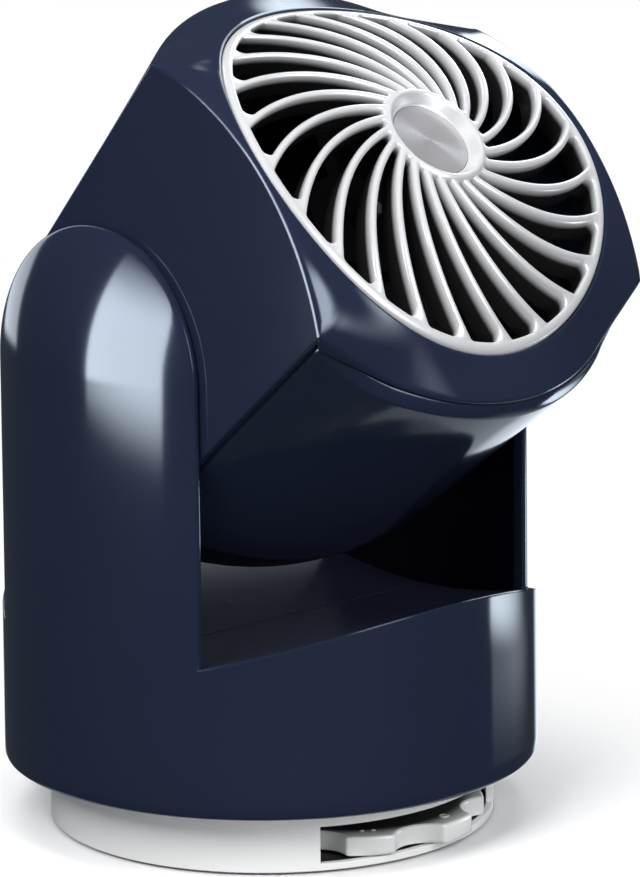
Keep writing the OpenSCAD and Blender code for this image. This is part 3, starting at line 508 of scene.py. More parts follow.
def bezel_row(f, crease):
    """One line of the bezel at angle f, from the seat over the face to the seam; keeps its point on a cheek's edge."""
    c, s = math.cos(f), math.sin(f)
    a = math.atan2(abs(s), abs(c))
    side = 1 if c > 0 else -1
    r, n, seam = bezel_outline(a)
    on_cheek = a <= CORNER_A + 1e-9
    edge = np.array([r * c, r * s, n])
    col = []
    for d, drop in SEAT_STEPS:
        v = (SEAT_R + d) * s
        col.append(np.array([(SEAT_R + d) * c, v, RING_N - SADDLE + math.sqrt(SADDLE ** 2 - v * v) - drop]))
    start = col[-1]
    span = np.linalg.norm(edge - start)
    stop = edge + (start - edge) * min(EDGE_ROUND, span * 0.35) / span
    # The swell grows towards the ears and fades where the face is narrow
    near = max(0.0, min(1.0, (ROUND_A + 0.10 - a) / 0.55))
    swell = EAR_SWELL[side] * (0.1 + 0.9 * near * near * (3 - 2 * near)) * min(1.0, span / 12.0)
    out = np.array([c * 0.75, s * 0.2, 0.8] if on_cheek else [c * 0.45, s * 0.25, 1.0])
    out /= np.linalg.norm(out)
    for t in np.linspace(0, 1, 15)[1:]:
        col.append(start + (stop - start) * t + out * swell * 4 * t * (1 - t) * t ** 0.4)
    if on_cheek:
        turned_in = edge - np.array([0, edge[1], edge[2]]) / math.hypot(edge[1], edge[2]) * EDGE_ROUND
        turned_in[0] = side * CHEEK_X
        col += [edge + ((stop + turned_in) / 2 - edge) * 0.62, turned_in, turned_in, turned_in]
        crease[side].append(turned_in)
    else:
        foot = np.array([edge[0], edge[1], seam])
        col += [edge + (stop - edge) * 0.3 + (foot - edge) * 0.12, edge + (foot - edge) * 0.5,
                foot, foot * np.array([0.965, 0.965, 1.0])]
    return col


def cheek(side, front):
    """One flat cheek behind its points on the bezel: the rounded edge, the face and its inner side."""
    front = sorted(front, key=lambda p: p[1])
    heights = np.linspace(-CHEEK_R * math.cos(FLARE), -CHEEK_V, 30)
    lower = [np.array([side * CHEEK_X, v, n])
             for v, n in zip(heights, np.linspace(-CHEEK_R * math.sin(FLARE), CHEEK_TOP, 30))]
    rear = [np.array([side * CHEEK_X, CHEEK_R * math.sin(t), -CHEEK_R * math.cos(t)])
            for t in np.linspace(math.pi / 2 - FLARE, -math.pi / 2 + FLARE, 60)]
    upper = [p * np.array([1, -1, 1]) for p in lower[::-1]]
    outline = np.array(upper + rear[1:-1] + lower)
    tangent = np.gradient(outline[:, 1:], axis=0)
    tangent /= np.linalg.norm(tangent, axis=1)[:, None]
    inward = np.stack([tangent[:, 1], -tangent[:, 0]], 1)
    inward *= np.sign(np.sum(inward * (np.array([0.0, 20.0]) - outline[:, 1:]), axis=1))[:, None]
    strips = []
    for d, drop in CHEEK_STEPS:
        strip = outline.copy()
        strip[:, 1:] += inward * d
        strip[:, 0] = side * (CHEEK_X - drop)
        strip[0, 2] = min(strip[0, 2], front[-1][2])
        strip[-1, 2] = min(strip[-1, 2], front[0][2])
        strips.append(strip)
    cover.grid(at_head(np.array(strips)), inside=head(side * 30, 0, 20), probe=(2, 10))
    face = np.array([*front, *strips[0]])
    cover.face(at_head(face), inside=head(0, 0, 20))
    face[:, 0] = side * (CHEEK_X - CHEEK_WALL)
    cover.face(at_head(face), inside=head(side * 60, 0, 20))


quad = np.concatenate([np.linspace(0, CORNER_A, 26), np.linspace(CORNER_A, ROUND_A, 18)[1:],
                       np.linspace(ROUND_A, math.pi / 2, 26)[1:]])
angles = np.concatenate([quad, math.pi - quad[::-1][1:], math.pi + quad[1:], 2 * math.pi - quad[::-1][1:-1]])
crease = {-1: [], 1: []}
bezel = np.array([bezel_row(f, crease) for f in angles])
cover.grid(at_head(bezel), inside=head(0, 0, 30), wrap=True, probe=(5, 8))
for side in (-1, 1):
    cheek(side, crease[side])
piece("cover_skin", cover.mesh("cover_skin", 30.0), "head", [navy], "navy_plastic", "front_cover")

# -------- barrel
barrel = Shape()
BELLY_ARC = (HALF ** 2 + (BELLY - BELLY_END) ** 2) / (2 * (BELLY - BELLY_END))
# Rounded flat sides: distance in from the half width, inset of the section
SIDE_STEPS = ((0.0, 2.6), (0.0, 0.35), (0.06, 0.12), (0.22, 0.03))
# Air duct, from the front edge to the rear: distance out from its radius, place along the airflow
DUCT_STEPS = [(1.8, 44.4), (0.3, 44.4), (0.0, 44.1)] + [(0.0, n) for n in np.linspace(40, -SPLIT + 0.2, 8)]
DUCT_STEPS += [(1.6, -SPLIT)]


def barrel_belly(x):
    """Radius of the belly round the tilt axis at x."""
    return BELLY - BELLY_ARC + math.sqrt(BELLY_ARC ** 2 - x * x)


def barrel_rim(x, radius, low, top_v, top_n):
    """Rim edge at x: up the face, forward. It leaves the circle on a straight line to the corner."""
    x = min(abs(x), HALF)
    leave = math.atan2(top_v, HALF) + math.acos(radius / math.hypot(HALF, top_v))
    leave_x, leave_v = radius * math.cos(leave), radius * math.sin(leave)
    if x <= leave_x:
        return math.sqrt(radius ** 2 - x * x), low
    k = (x - leave_x) / (HALF - leave_x)
    return leave_v + (top_v - leave_v) * k, low + (top_n - low) * k ** 1.25


def barrel_section(x, inset):
    """Upper half of the barrel's section at x: the rim, a straight side to the belly, and round it to the rear end."""
    v1, n1 = barrel_rim(x, FRONT_R, FRONT_N, CORNER_V - 0.35, CORNER_N)
    v2, n2 = barrel_rim(x, RIM_R, RIM_N, CORNER_V, CORNER_N - 1.1)
    R = barrel_belly(min(abs(x), HALF))
    meet = math.atan2(v2, n2) + math.acos(R / math.hypot(v2, n2))
    end = math.acos(-SPLIT / R)
    pts = [(v1 - 1.4, n1 - 0.05), (v1 - 0.3, n1), (v1 - 0.06, n1 - 0.08)]
    pts += [(v1 + (v2 - v1) * t, n1 + (n2 - n1) * t) for t in (0.12, 0.5, 0.86)]
    long_v, long_n = R * math.sin(meet) - v2, R * math.cos(meet) - n2
    pts.append((v2 + long_v * 0.003 - 0.02, n2 + long_n * 0.003))
    pts += [(v2 + long_v * t, n2 + long_n * t) for t in np.linspace(0.012, 1, 12)]
    pts += [(R * math.sin(b), R * math.cos(b)) for b in np.linspace(meet, end, 26)[1:]]
    pts.append(((R - 1.8) * math.sin(end), R * math.cos(end)))
    pts = np.array(pts)
    return pts * (1 - inset / np.linalg.norm(pts, axis=1)[:, None])


half_xs = (HALF - 0.5) * np.sin(np.linspace(0, math.pi / 2, 44))
cols = [(d - HALF, inset) for d, inset in SIDE_STEPS] + [(x, 0.0) for x in [*-half_xs[::-1], *half_xs[1:]]]
cols += [(HALF - d, inset) for d, inset in SIDE_STEPS[::-1]]
for way in (-1, 1):
    P = np.array([[(x, way * v, n) for v, n in barrel_section(x, inset)] for x, inset in cols])
    barrel.grid(at_head(P), inside=head(0, 0, 5), probe=(45, 20))
duct = spin([(DUCT + d, n) for d, n in DUCT_STEPS], 144)
# The duct takes the black material: painted shade inside the barrel
barrel.grid(at_head(duct), inside=head(60, 0, 10), wrap=True, probe=(0, 4), mat=1)
piece("barrel_skin", barrel.mesh("barrel_skin", 32.0), "head", [navy, black], "navy_plastic", "barrel")


# -------- swirl grille, by geometry nodes
def vane_mesh():
    """One vane in plan, crest at height 0: a strip along its arc, filleted into the hub and the ring."""
    strip = Shape()
    centre = np.array([VANE_C * math.cos(VANE_TURN), VANE_C * math.sin(VANE_TURN)])

    def at(r, arc):
        """The point of an arc round the vane's centre that is r from the airflow axis."""
        a = VANE_TURN - math.acos((VANE_C ** 2 + r * r - arc * arc) / (2 * VANE_C * r))
        return np.array([r * math.cos(a), r * math.sin(a)])

    def edge(sign):
        """Points of one long edge, hub to ring, each with its direction into the vane and its sink."""
        arc = VANE_R + sign * VANE_HALF
        ends = []
        for rad, way, fillet, steps, sink in ((HUB_R, 1, HUB_FILLET, 6, 0.45),
                                              (RING_R - RING_W, -1, RING_FILLET, 9, 0.06)):
            f = at(rad + way * fillet, arc + sign * fillet)
            axial = f / np.linalg.norm(f)
            root, foot = axial * rad - f, centre + (f - centre) / np.linalg.norm(f - centre) * arc - f
            first = math.atan2(root[1], root[0])
            sweep = (math.atan2(foot[1], foot[0]) - first + math.pi) % (2 * math.pi) - math.pi
            ways = [np.array([math.cos(u), math.sin(u)]) for u in (first + sweep * k / steps for k in range(steps + 1))]
            pts = [(f + fillet * w, w, 0.0) for w in ways]
            ends.append([(pts[0][0] - way * 0.7 * axial, ways[0], sink)] + pts)
        near, far = ends
        along = []
        for r in np.linspace(*(float(np.linalg.norm(e[-1][0])) for e in ends), 32)[1:-1]:
            p = at(r, arc)
            along.append((p, -sign * (p - centre) / np.linalg.norm(p - centre), 0.0))
        return near + along + far[::-1]

    lip = ((0.14, -6.0),) + LIP
    rows = []
    for (p0, n0, s0), (p1, n1, s1) in zip(edge(-1), edge(1)):
        row = [(*(p0 + n0 * d), h - s0) for d, h in lip]
        row.append((*((p0 + p1 + (n0 + n1) * LIP[-1][0]) / 2), -0.02 - s0))
        row += [(*(p1 + n1 * d), h - s1) for d, h in lip[::-1]]
        rows.append(row)
    strip.grid(np.array(rows), inside=(0, 0, -50), probe=(20, 5))
    return strip.mesh("vane_strip", 50.0)


def ring_mesh():
    """The ring in plan, crest at height 0, from its outer side over the top to the side that the vanes meet."""
    strip = Shape()
    outer = ((0.05, -6.6), (0.0, -0.75), (0.07, -0.4), (0.24, -0.16), (0.5, -0.03), (0.8, 0.0))
    inner = ((0.75, -0.01),) + LIP[::-1] + ((0.14, -6.6),)
    profile = [(RING_R - d, h) for d, h in outer] + [(RING_R - RING_W + d, h) for d, h in inner]
    strip.grid(spin(profile, 288), inside=(0, 0, -60), wrap=True, probe=(3, 5))
    return strip.mesh("ring_strip", 50.0)


def swirl_tree():
    """Repeats the vane round the airflow axis, adds the ring, and lifts both on to the crest surface."""
    t = bpy.data.node_groups.new("swirl_grille_nodes", "GeometryNodeTree")
    sockets(t, "INPUT", "Geometry", Geometry=None)
    sockets(t, "INPUT", "Int", Vane_Count=VANES)
    sockets(t, "INPUT", "Object", Ring=None)
    sockets(t, "INPUT", "Float", Arc_Radius=CREST_A * MM, Turn_Radius=CREST_T * MM, Crest_Height=CREST_N * MM)
    sockets(t, "INPUT", "Material", Material=None)
    sockets(t, "OUTPUT", "Geometry", Geometry=None)
    N, L = t.nodes, t.links
    gi, go = N.new("NodeGroupInput"), N.new("NodeGroupOutput")
    pts = N.new("GeometryNodePoints")
    L.new(gi.outputs["Vane Count"], pts.inputs["Count"])
    step = math_node(t, "DIVIDE", 2 * math.pi, gi.outputs["Vane Count"])
    rot = N.new("ShaderNodeCombineXYZ")
    L.new(math_node(t, "MULTIPLY", N.new("GeometryNodeInputIndex").outputs[0], step), rot.inputs["Z"])
    inst = N.new("GeometryNodeInstanceOnPoints")
    L.new(pts.outputs[0], inst.inputs["Points"])
    L.new(gi.outputs["Geometry"], inst.inputs["Instance"])
    L.new(rot.outputs[0], inst.inputs["Rotation"])
    ring = N.new("GeometryNodeObjectInfo")
    L.new(gi.outputs["Ring"], ring.inputs["Object"])
    join = N.new("GeometryNodeJoinGeometry")
    L.new(inst.outputs[0], join.inputs[0])
    L.new(ring.outputs["Geometry"], join.inputs[0])
    real = N.new("GeometryNodeRealizeInstances")
    L.new(join.outputs[0], real.inputs[0])
    xyz = N.new("ShaderNodeSeparateXYZ")
    L.new(N.new("GeometryNodeInputPosition").outputs[0], xyz.inputs[0])
    A, T, C = gi.outputs["Arc Radius"], gi.outputs["Turn Radius"], gi.outputs["Crest Height"]

    def leg(long, short):
        """The second leg of a right-angled triangle."""
        return math_node(t, "SQRT", math_node(t, "SUBTRACT", math_node(t, "MULTIPLY", long, long),
                                              math_node(t, "MULTIPLY", short, short)))

    drop = math_node(t, "SUBTRACT", A, leg(A, xyz.outputs[0]))
    up = leg(math_node(t, "SUBTRACT", T, drop), xyz.outputs[1])
    off = N.new("ShaderNodeCombineXYZ")
    L.new(math_node(t, "ADD", math_node(t, "SUBTRACT", C, T), up), off.inputs["Z"])
    setp = N.new("GeometryNodeSetPosition")
    L.new(real.outputs[0], setp.inputs["Geometry"])
    L.new(off.outputs[0], setp.inputs["Offset"])
    place = N.new("GeometryNodeTransform")
    place.inputs["Rotation"].default_value = (math.pi / 2 - TILT, 0.0, 0.0)
    place.inputs["Translation"].default_value = (0.0, 0.0, PIVOT * MM)
    L.new(setp.outputs[0], place.inputs["Geometry"])
    paint = N.new("GeometryNodeSetMaterial")
    L.new(place.outputs[0], paint.inputs["Geometry"])
    L.new(gi.outputs["Material"], paint.inputs["Material"])
    L.new(paint.outputs[0], go.inputs[0])
    return t


def key(tree, name):
    """The identifier of a group's named input, which a modifier is set by."""
    return next(i.identifier for i in tree.interface.items_tree if i.name == name and i.in_out == "INPUT")


source = put(bpy.data.objects.new("vane_source", vane_mesh()))
ring_source = put(bpy.data.objects.new("ring_source", ring_mesh()))
tree = swirl_tree()
mod = source.modifiers.new("swirl", "NODES")
mod.node_group = tree
mod[key(tree, "Ring")] = ring_source
mod[key(tree, "Vane Count")] = VANES
mod[key(tree, "Material")] = silver
bpy.context.view_layer.update()
deps = bpy.context.evaluated_depsgraph_get()
grille_me = bpy.data.meshes.new_from_object(source.evaluated_get(deps), preserve_all_data_layers=True, depsgraph=deps)
grille_me.name = "grille_skin"
source.modifiers.clear()
for ob in (source, ring_source):
    bpy.data.objects.remove(ob)
# Hub: from its side over the rounded edge and down to the badge's seat; heights from its top
HUB_PROFILE = [
    (HUB_R, -7.0), (HUB_R, -1.1), (HUB_R - 0.08, -0.75), (HUB_R - 0.3, -0.4), (HUB_R - 0.65, -0.12),
    (HUB_R - 1.0, -0.02), (HUB_R - 1.3, -0.12), (HUB_R - 1.55, -0.4), (BADGE_R + 0.4, -2.05), (BADGE_R + 0.25, -2.25),
    (BADGE_R, -2.4), (BADGE_R, -3.1), (0.01, -3.1),
]
hub = Shape()
hub.grid(at_head(spin([(r, HUB_N + h) for r, h in HUB_PROFILE], 128)), inside=head(0, 0, 50), wrap=True, probe=(2, 5))
bm = bmesh.new()
bm.from_mesh(grille_me)
bm.from_mesh(hub.mesh("hub_skin", 50.0))
bm.to_mesh(grille_me)
bm.free()


def add_depth(me, values):
    """The attribute that fade_down reads."""
    me.attributes.new("depth", "FLOAT", "POINT").data.foreach_set("value", values.astype(np.float32))


# Depth below the crest surface, which sets the grille's dark sides: thinning paint and painted shade
co = np.empty(len(grille_me.vertices) * 3)
grille_me.vertices.foreach_get("co", co)
x, y, z = co.reshape(-1, 3).T / MM
v, n = y * math.sin(TILT) + (z - PIVOT) * math.cos(TILT), (z - PIVOT) * math.sin(TILT) - y * math.cos(TILT)
sag = CREST_A - np.sqrt(CREST_A ** 2 - x ** 2)
crest = CREST_N - CREST_T + np.sqrt((CREST_T - sag) ** 2 - v ** 2)
add_depth(grille_me, np.where(np.hypot(x, v) > HUB_R - 0.5, crest - n, 0.0))
grille_me.materials.clear()
grille_me.polygons.foreach_set("use_smooth", [True] * len(grille_me.polygons))
grille_me.set_sharp_from_angle(angle=math.radians(50))
piece("grille_skin", grille_me, "head", [silver], "silver_plastic", "swirl_grille")

# -------- speed dial
# In degrees: the plinth's turn and the dial's rest; in mm: its axis, tip radius, lobes, valleys and marks
BASE_TURN, DIAL_REST, DIAL_AT, DIAL_R = 5.0, 5.0, 21.0, 27.4
LOBES, LOBE_H, VALLEY_R, LOBE_EASE = 8, 3.7, 7.0, 0.35
DIAL_LOW, DIAL_TOP, DIAL_WEB, DIAL_IN, DIAL_HUB, POST = 2.3, 6.3, 4.3, 19.1, 7.05, 5.05
MARK_AT, DOT_R, DOT_GAP, MARK_RISE = 23.4, 0.5, 1.15, 0.2
# Rounded edges: distance in from the side, distance from the top or bottom; of a mark, distance in, share of its rise
DIAL_EDGE = ((0.7, 0.0), (0.42, 0.06), (0.2, 0.2), (0.06, 0.42), (0.0, 0.7))
MARK_EDGE = ((0.0, 0.5), (0.06, 0.85), (0.15, 1.0))
DIAL_TURN = math.radians(BASE_TURN + DIAL_REST - 90.0)
DIAL_C = (DIAL_AT * math.sin(math.radians(BASE_TURN)), -DIAL_AT * math.cos(math.radians(BASE_TURN)))


def dial_reach(a):
    """Radius of the lobed outline at an angle from a lobe's middle, its corners eased."""
    step = 2 * math.pi / LOBES
    off = (a % step) - step / 2
    centre = DIAL_R - LOBE_H + VALLEY_R
    along, beside = centre * math.cos(off), abs(centre * math.sin(off))
    under = VALLEY_R ** 2 - beside ** 2
    valley = along - math.sqrt(under) if under > 0 else along + 6 * (beside - VALLEY_R)
    return DIAL_R - LOBE_EASE * math.log(1.0 + math.exp((DIAL_R - valley) / LOBE_EASE))


def dial_place(r, a, z):
    """A place on the dial, r from its axis and at an angle from the middle of the lobe with the ring mark."""
    return (DIAL_C[0] + r * math.cos(a + DIAL_TURN), DIAL_C[1] + r * math.sin(a + DIAL_TURN), z)


dial = Shape()
turns = np.linspace(0, 2 * math.pi, 481)[:-1]
reach = np.array([dial_reach(a) for a in turns])
lean = np.gradient(np.concatenate([reach[-2:], reach, reach[:2]]), turns[1])[2:-2] / reach
rows = []
for a, r, k in zip(turns, reach, np.sqrt(1 + lean ** 2)):
    col = [(POST, DIAL_TOP)] + [(DIAL_IN + (r - 1.1 * k - DIAL_IN) * t, DIAL_TOP) for t in np.linspace(0, 1, 6)]
    col += [(r - d * k, DIAL_TOP - h) for d, h in DIAL_EDGE] + [(r - d * k, DIAL_LOW + h) for d, h in DIAL_EDGE[::-1]]
    col += [(DIAL_IN, DIAL_LOW), (DIAL_IN, DIAL_WEB), (DIAL_HUB, DIAL_WEB), (DIAL_HUB, DIAL_LOW), (POST, DIAL_LOW),
            (POST, DIAL_TOP)]
    rows.append([dial_place(q, a, z) for q, z in col])
dial.grid(np.array(rows), inside=dial_place(23, 0, 4), wrap=True, probe=(0, 12))


def mark(a, outer, inner):
    """A raised round mark on a lobe: a ring, or a dot when it has no inner radius."""
    centre = dial_place(MARK_AT, a, DIAL_TOP - 2)
    rise = [(d, h * MARK_RISE) for d, h in MARK_EDGE]
    col = [(outer, -0.05)] + [(outer - d, h) for d, h in rise]
    col += [(inner + d, h) for d, h in rise[::-1]] + [(inner, -0.05)] if inner else [(0.001, MARK_RISE)]
    dial.grid(spin([(q, DIAL_TOP + h) for q, h in col], 32, centre[:2]), inside=centre, wrap=True, probe=(0, 2))


mark(0, 1.05, 0.55)
for side in (-1, 1):
    mark(-2 * math.pi / LOBES + side * DOT_GAP / MARK_AT, DOT_R, 0)
dial_me = dial.mesh("dial_skin", 50.0)
# Distance in from the dial's tips on its top, which places the painted shade of the recess
at = np.array([v.co for v in dial_me.vertices]) / MM
inward = DIAL_R - np.hypot(at[:, 0] - DIAL_C[0], at[:, 1] - DIAL_C[1])
add_depth(dial_me, np.where(np.abs(at[:, 2] - DIAL_TOP) < 0.02, inward, 0.0))
piece("dial_skin", dial_me, "dial", [dial_mat], "pale_plastic", "speed_dial")

# -------- camera
# Fitted to the round outlines: focal length and frame height in pixels; distance and aim in mm for a column of this
# radius; a small lift of the aim
FIT_FOCAL, FIT_PIXELS, SENSOR = 3797.114, 877.0, 36.0
FIT_BODY, FIT_DIST, FIT_ASIDE, FIT_AIM, LIFT = 51.0, 727.486, 10.007, 73.014, 0.4
AZ, EL, ROLL = math.radians(-43.521), math.radians(11.67), math.radians(-0.574)
grow = BODY / FIT_BODY
back = Vector((math.sin(AZ) * math.cos(EL), -math.cos(AZ) * math.cos(EL), math.sin(EL)))
right = Vector((math.cos(AZ), math.sin(AZ), 0.0))
up = back.cross(right)
rolled_right = math.cos(ROLL) * right + math.sin(ROLL) * up
rolled_up = -math.sin(ROLL) * right + math.cos(ROLL) * up
target = (Vector((FIT_ASIDE * math.cos(AZ), FIT_ASIDE * math.sin(AZ), FIT_AIM)) * grow + Vector((0, 0, LIFT))) * MM
cam = bpy.data.cameras.new("camera")
cam_ob = put(bpy.data.objects.new("camera", cam))
place = Matrix((rolled_right, rolled_up, back)).transposed().to_4x4()
place.translation = target + back * FIT_DIST * grow * MM
cam_ob.matrix_world = place
cam.sensor_width, cam.sensor_fit = SENSOR, "AUTO"
cam.lens = FIT_FOCAL * SENSOR / FIT_PIXELS
cam.clip_start, cam.clip_end = 0.01, 20.0
bpy.context.scene.camera = cam_ob


# -------- lamps and reflector cards
def around(az, el, dist, z=0.09):
    """A place round the object: azimuth 0 is the front, negative to the left; elevation above the horizon."""
    a, e = math.radians(az), math.radians(el)
    return (dist * math.sin(a) * math.cos(e), -dist * math.cos(a) * math.cos(e), z + dist * math.sin(e))


def softbox(name, centre, aim, size, power):
    """A soft white lamp that mirrors don't show."""
    lamp = bpy.data.lights.new(name, "AREA")
    lamp.shape = "RECTANGLE"
    lamp.size, lamp.size_y = size
    lamp.energy = power
    ob = put(bpy.data.objects.new(name, lamp))
    ob.location = centre
    ob.rotation_euler = (Vector(aim) - Vector(centre)).to_track_quat("-Z", "Y").to_euler()
    ob.visible_glossy = False


MIDDLE, GROUND = (0.0, 0.0, 0.09), (0.0, 0.0, 0.01)
softbox("key_left", around(-75, 40, 0.9), MIDDLE, (0.5, 0.5), 7.0)
softbox("front_fill", around(0, 30, 0.9), MIDDLE, (0.5, 0.5), 4.0)
softbox("top", around(-40, 80, 0.8), MIDDLE, (0.6, 0.6), 4.0)
softbox("foot_fill", around(-10, 3, 0.5, 0.01), GROUND, (0.3, 0.05), 0.5)


def card_group():
    """How bright a reflector card is at a place on it: soft towards each edge, by shares of its size."""
    g = bpy.data.node_groups.new("card_mask", "ShaderNodeTree")
    sockets(g, "INPUT", "Float", Across=None, Up=None, Left_Soft=0.1, Right_Soft=0.1, Low_Soft=0.1, High_Soft=0.1)
    sockets(g, "OUTPUT", "Float", Value=None)
    gi, go = g.nodes.new("NodeGroupInput"), g.nodes.new("NodeGroupOutput")
    total = None
    for way, first, second in (("Across", "Left", "Right"), ("Up", "Low", "High")):
        for n, value in ((first, gi.outputs[way]), (second, math_node(g, "SUBTRACT", 1.0, gi.outputs[way]))):
            edge = smooth_range(g, value, From_Max=gi.outputs[n + " Soft"])
            total = edge if total is None else math_node(g, "MULTIPLY", total, edge)
    link(g, total, go.inputs[0])
    return g


CARD = card_group()


def card(name, aim, az, dist, across, up, roll, level, soft):
    """A card of light that only glossy rays see, dist mm from aim in the direction az; across, up: its ends in mm."""
    a, phi = math.radians(az), math.radians(roll)
    away, side, top = Vector((math.sin(a), -math.cos(a), 0)), Vector((math.cos(a), math.sin(a), 0)), Vector((0, 0, 1))
    lamp = bpy.data.lights.new(name, "AREA")
    lamp.shape, lamp.size, lamp.size_y = "RECTANGLE", (across[1] - across[0]) * MM, (up[1] - up[0]) * MM
    # Power follows the area, so that level alone sets how bright the card is
    lamp.energy = 4.0 * (across[1] - across[0]) * MM * (up[1] - up[0]) * MM * level
    lamp.color = (0.76, 0.88, 1.0)
    lamp.use_nodes = True
    t = lamp.node_tree
    geo, xyz, mask = (t.nodes.new(k) for k in ("ShaderNodeNewGeometry", "ShaderNodeSeparateXYZ", "ShaderNodeGroup"))
    mask.node_tree = CARD
    link(t, geo.outputs["Parametric"], xyz.inputs[0])
    link(t, xyz.outputs[0], mask.inputs["Across"])
    link(t, xyz.outputs[1], mask.inputs["Up"])
    for n, v in zip(("Left Soft", "Right Soft", "Low Soft", "High Soft"), soft):
        mask.inputs[n].default_value = v
    link(t, mask.outputs[0], t.nodes["Emission"].inputs["Strength"])
    m = Matrix((side * math.cos(phi) - top * math.sin(phi), side * math.sin(phi) + top * math.cos(phi), away))
    m = m.transposed().to_4x4()
    m.translation = (Vector(aim) + away * dist + side * (across[0] + across[1]) / 2 + top * (up[0] + up[1]) / 2) * MM
    ob = put(bpy.data.objects.new(name, lamp))
    ob.matrix_world = m
    ob.visible_diffuse = ob.visible_camera = ob.visible_transmission = False


card("card_left", (-51.4, -16.7, 0), -105, 200, (-72, 82), (44, 278), 5, 13.0, (0.02, 0.02, 0.10, 0.5))
card("card_right", (18, -51, 0), 80, 150, (-47, 55), (0.5, 54), 0, 7.5, (0.03, 0.98, 0.22, 0.4))
card("card_ear", (-40, -62, 0), 0, 150, (-35, 100), (98, 250), 0, 8.0, (0.15, 0.4, 0.3, 0.3))

# -------- floor
FLOOR_SIDE = 3.0
# Distances in metres between which the pale floor turns white
PALE_TO, WHITE_FROM = 0.052, 0.13
floor = bpy.data.meshes.new("floor")
floor.from_pydata([(x * FLOOR_SIDE, y * FLOOR_SIDE, 0) for x, y in ((-1, -1), (1, -1), (1, 1), (-1, 1))], [],
                  [(0, 1, 2, 3)])
floor_ob = put(bpy.data.objects.new("floor", floor))


def floor_material():
    """Pale floor: keeps the shadow near the fan and turns white further out; mirrors see past it."""
    m = bpy.data.materials.new("floor_white")
    m.use_nodes = True
    t = m.node_tree
    p = t.nodes["Principled BSDF"]
    p.inputs["Base Color"].default_value = (0.90, 0.90, 0.90, 1.0)
    p.inputs["Roughness"].default_value = 0.9
    p.inputs["Specular IOR Level"].default_value = 0.0
    away = vector_node(t, "LENGTH", t.nodes.new("ShaderNodeTexCoord").outputs["Object"])
    glow = t.nodes.new("ShaderNodeEmission")
    glow.inputs["Color"].default_value = (1.0, 1.0, 1.0, 1.0)
    glow.inputs["Strength"].default_value = 1.0
    dim = t.nodes.new("ShaderNodeBsdfDiffuse")
    dim.inputs["Color"].default_value = (0.15, 0.15, 0.16, 1.0)
    clear = t.nodes.new("ShaderNodeBsdfTransparent")
    ray = t.nodes.new("ShaderNodeLightPath")
    fade = mix_shader(t, smooth_range(t, away, From_Min=PALE_TO, From_Max=WHITE_FROM), p.outputs[0], glow.outputs[0])
    seen = mix_shader(t, ray.outputs["Is Camera Ray"], dim.outputs[0], fade)
    link(t, mix_shader(t, ray.outputs["Is Glossy Ray"], seen, clear.outputs[0]), t.nodes["Material Output"].inputs[0])
    return m


floor.materials.append(floor_material())


# -------- surroundings
def panel_group():
    """A soft-edged light panel in the surroundings, by azimuth and elevation in degrees."""
    g = bpy.data.node_groups.new("studio_panel", "ShaderNodeTree")
    sockets(g, "INPUT", "Float", Azimuth=0.0, Elevation=0.0, Start=-10.0, End=10.0, Start_Soft=5.0, End_Soft=5.0,
            Low=-90.0, High=90.0, Low_Soft=5.0, High_Soft=5.0, Level=1.0)
    sockets(g, "OUTPUT", "Float", Value=None)
    gi, go = g.nodes.new("NodeGroupInput"), g.nodes.new("NodeGroupOutput")
    start, end, low, high, elevation = (gi.outputs[n] for n in ("Start", "End", "Low", "High", "Elevation"))
    centre = math_node(g, "MULTIPLY", math_node(g, "ADD", start, end), 0.5)
    half = math_node(g, "MULTIPLY", math_node(g, "SUBTRACT", end, start), 0.5)
    aside = math_node(g, "WRAP", math_node(g, "SUBTRACT", gi.outputs["Azimuth"], centre), 180.0, -180.0)
    sides = ((aside, "SUBTRACT", math_node(g, "MULTIPLY", half, -1.0), "Start Soft"), (aside, "ADD", half, "End Soft"),
             (elevation, "SUBTRACT", low, "Low Soft"), (elevation, "ADD", high, "High Soft"))
    shares = [smooth_range(g, value, From_Min=math_node(g, op, edge, gi.outputs[soft]), From_Max=edge)
              for value, op, edge, soft in sides]
    both = math_node(g, "MULTIPLY", math_node(g, "MULTIPLY", *shares[:2]), math_node(g, "MULTIPLY", *shares[2:]))
    link(g, math_node(g, "MULTIPLY", both, gi.outputs["Level"]), go.inputs[0])
    return g


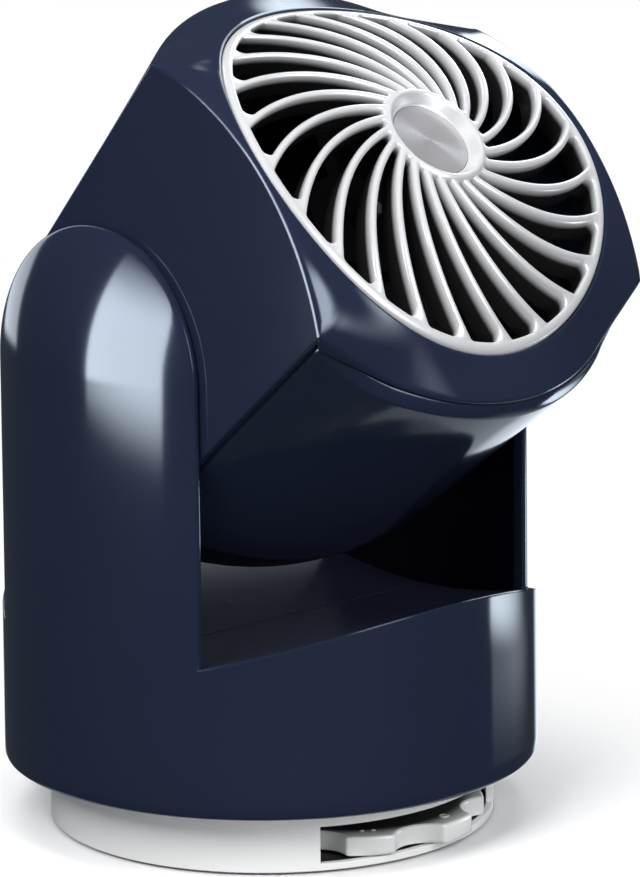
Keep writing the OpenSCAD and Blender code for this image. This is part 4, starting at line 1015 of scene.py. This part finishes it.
# Panels that glossy rays see: ends and soft widths in degrees, then the level
PANEL_ENDS = ("Start", "End", "Start Soft", "End Soft", "Low", "High", "Low Soft", "High Soft", "Level")
PANELS = [
    (108, 125, 8, 4, 12, 36, 5, 10, 6.0),
    (167, 183, 2, 2, -6, 40, 2, 20, 2.5),
    (122, 140, 8, 10, -30, -12, 8, 4, 1.5),
    (60, 200, 20, 20, -83, -40, 2, 12, 0.8),
    (67, 82, 1.5, 24, -14.2, -14.2, 1.8, 0.4, 1.5),
]
MIRROR_BASE, ROOM_LEVEL, WHITE_LEVEL = 0.06, 0.45, 1.0
world = bpy.data.worlds.new("world")
bpy.context.scene.world = world
world.use_nodes = True
wt = world.node_tree
PANEL = panel_group()
xyz = wt.nodes.new("ShaderNodeSeparateXYZ")
link(wt, wt.nodes.new("ShaderNodeTexCoord").outputs["Generated"], xyz.inputs[0])
turn = math_node(wt, "ARCTAN2", xyz.outputs[0], math_node(wt, "MULTIPLY", xyz.outputs[1], -1.0))
azimuth = math_node(wt, "MULTIPLY", turn, 180.0 / math.pi)
elevation = math_node(wt, "MULTIPLY", math_node(wt, "ARCSINE", xyz.outputs[2]), 180.0 / math.pi)
total = 0.0
for row in PANELS:
    g = wt.nodes.new("ShaderNodeGroup")
    g.node_tree = PANEL
    link(wt, azimuth, g.inputs["Azimuth"])
    link(wt, elevation, g.inputs["Elevation"])
    for n, v in zip(PANEL_ENDS, row):
        g.inputs[n].default_value = float(v)
    total = math_node(wt, "ADD", total, g.outputs[0])
total = math_node(wt, "ADD", total, MIRROR_BASE)
mirror, room, white = wt.nodes["Background"], wt.nodes.new("ShaderNodeBackground"), wt.nodes.new("ShaderNodeBackground")
for shader, colour, level in ((mirror, (0.80, 0.90, 1.0), total), (room, (0.94, 0.96, 1.0), ROOM_LEVEL),
                              (white, (1.0, 1.0, 1.0), WHITE_LEVEL)):
    shader.inputs["Color"].default_value = (*colour, 1.0)
    feed(wt, level, shader.inputs["Strength"])
ray = wt.nodes.new("ShaderNodeLightPath")
unseen = mix_shader(wt, ray.outputs["Is Glossy Ray"], room.outputs[0], mirror.outputs[0])
shown = mix_shader(wt, ray.outputs["Is Camera Ray"], unseen, white.outputs[0])
link(wt, shown, wt.nodes["World Output"].inputs[0])
bpy.context.scene.view_settings.view_transform = "Standard"
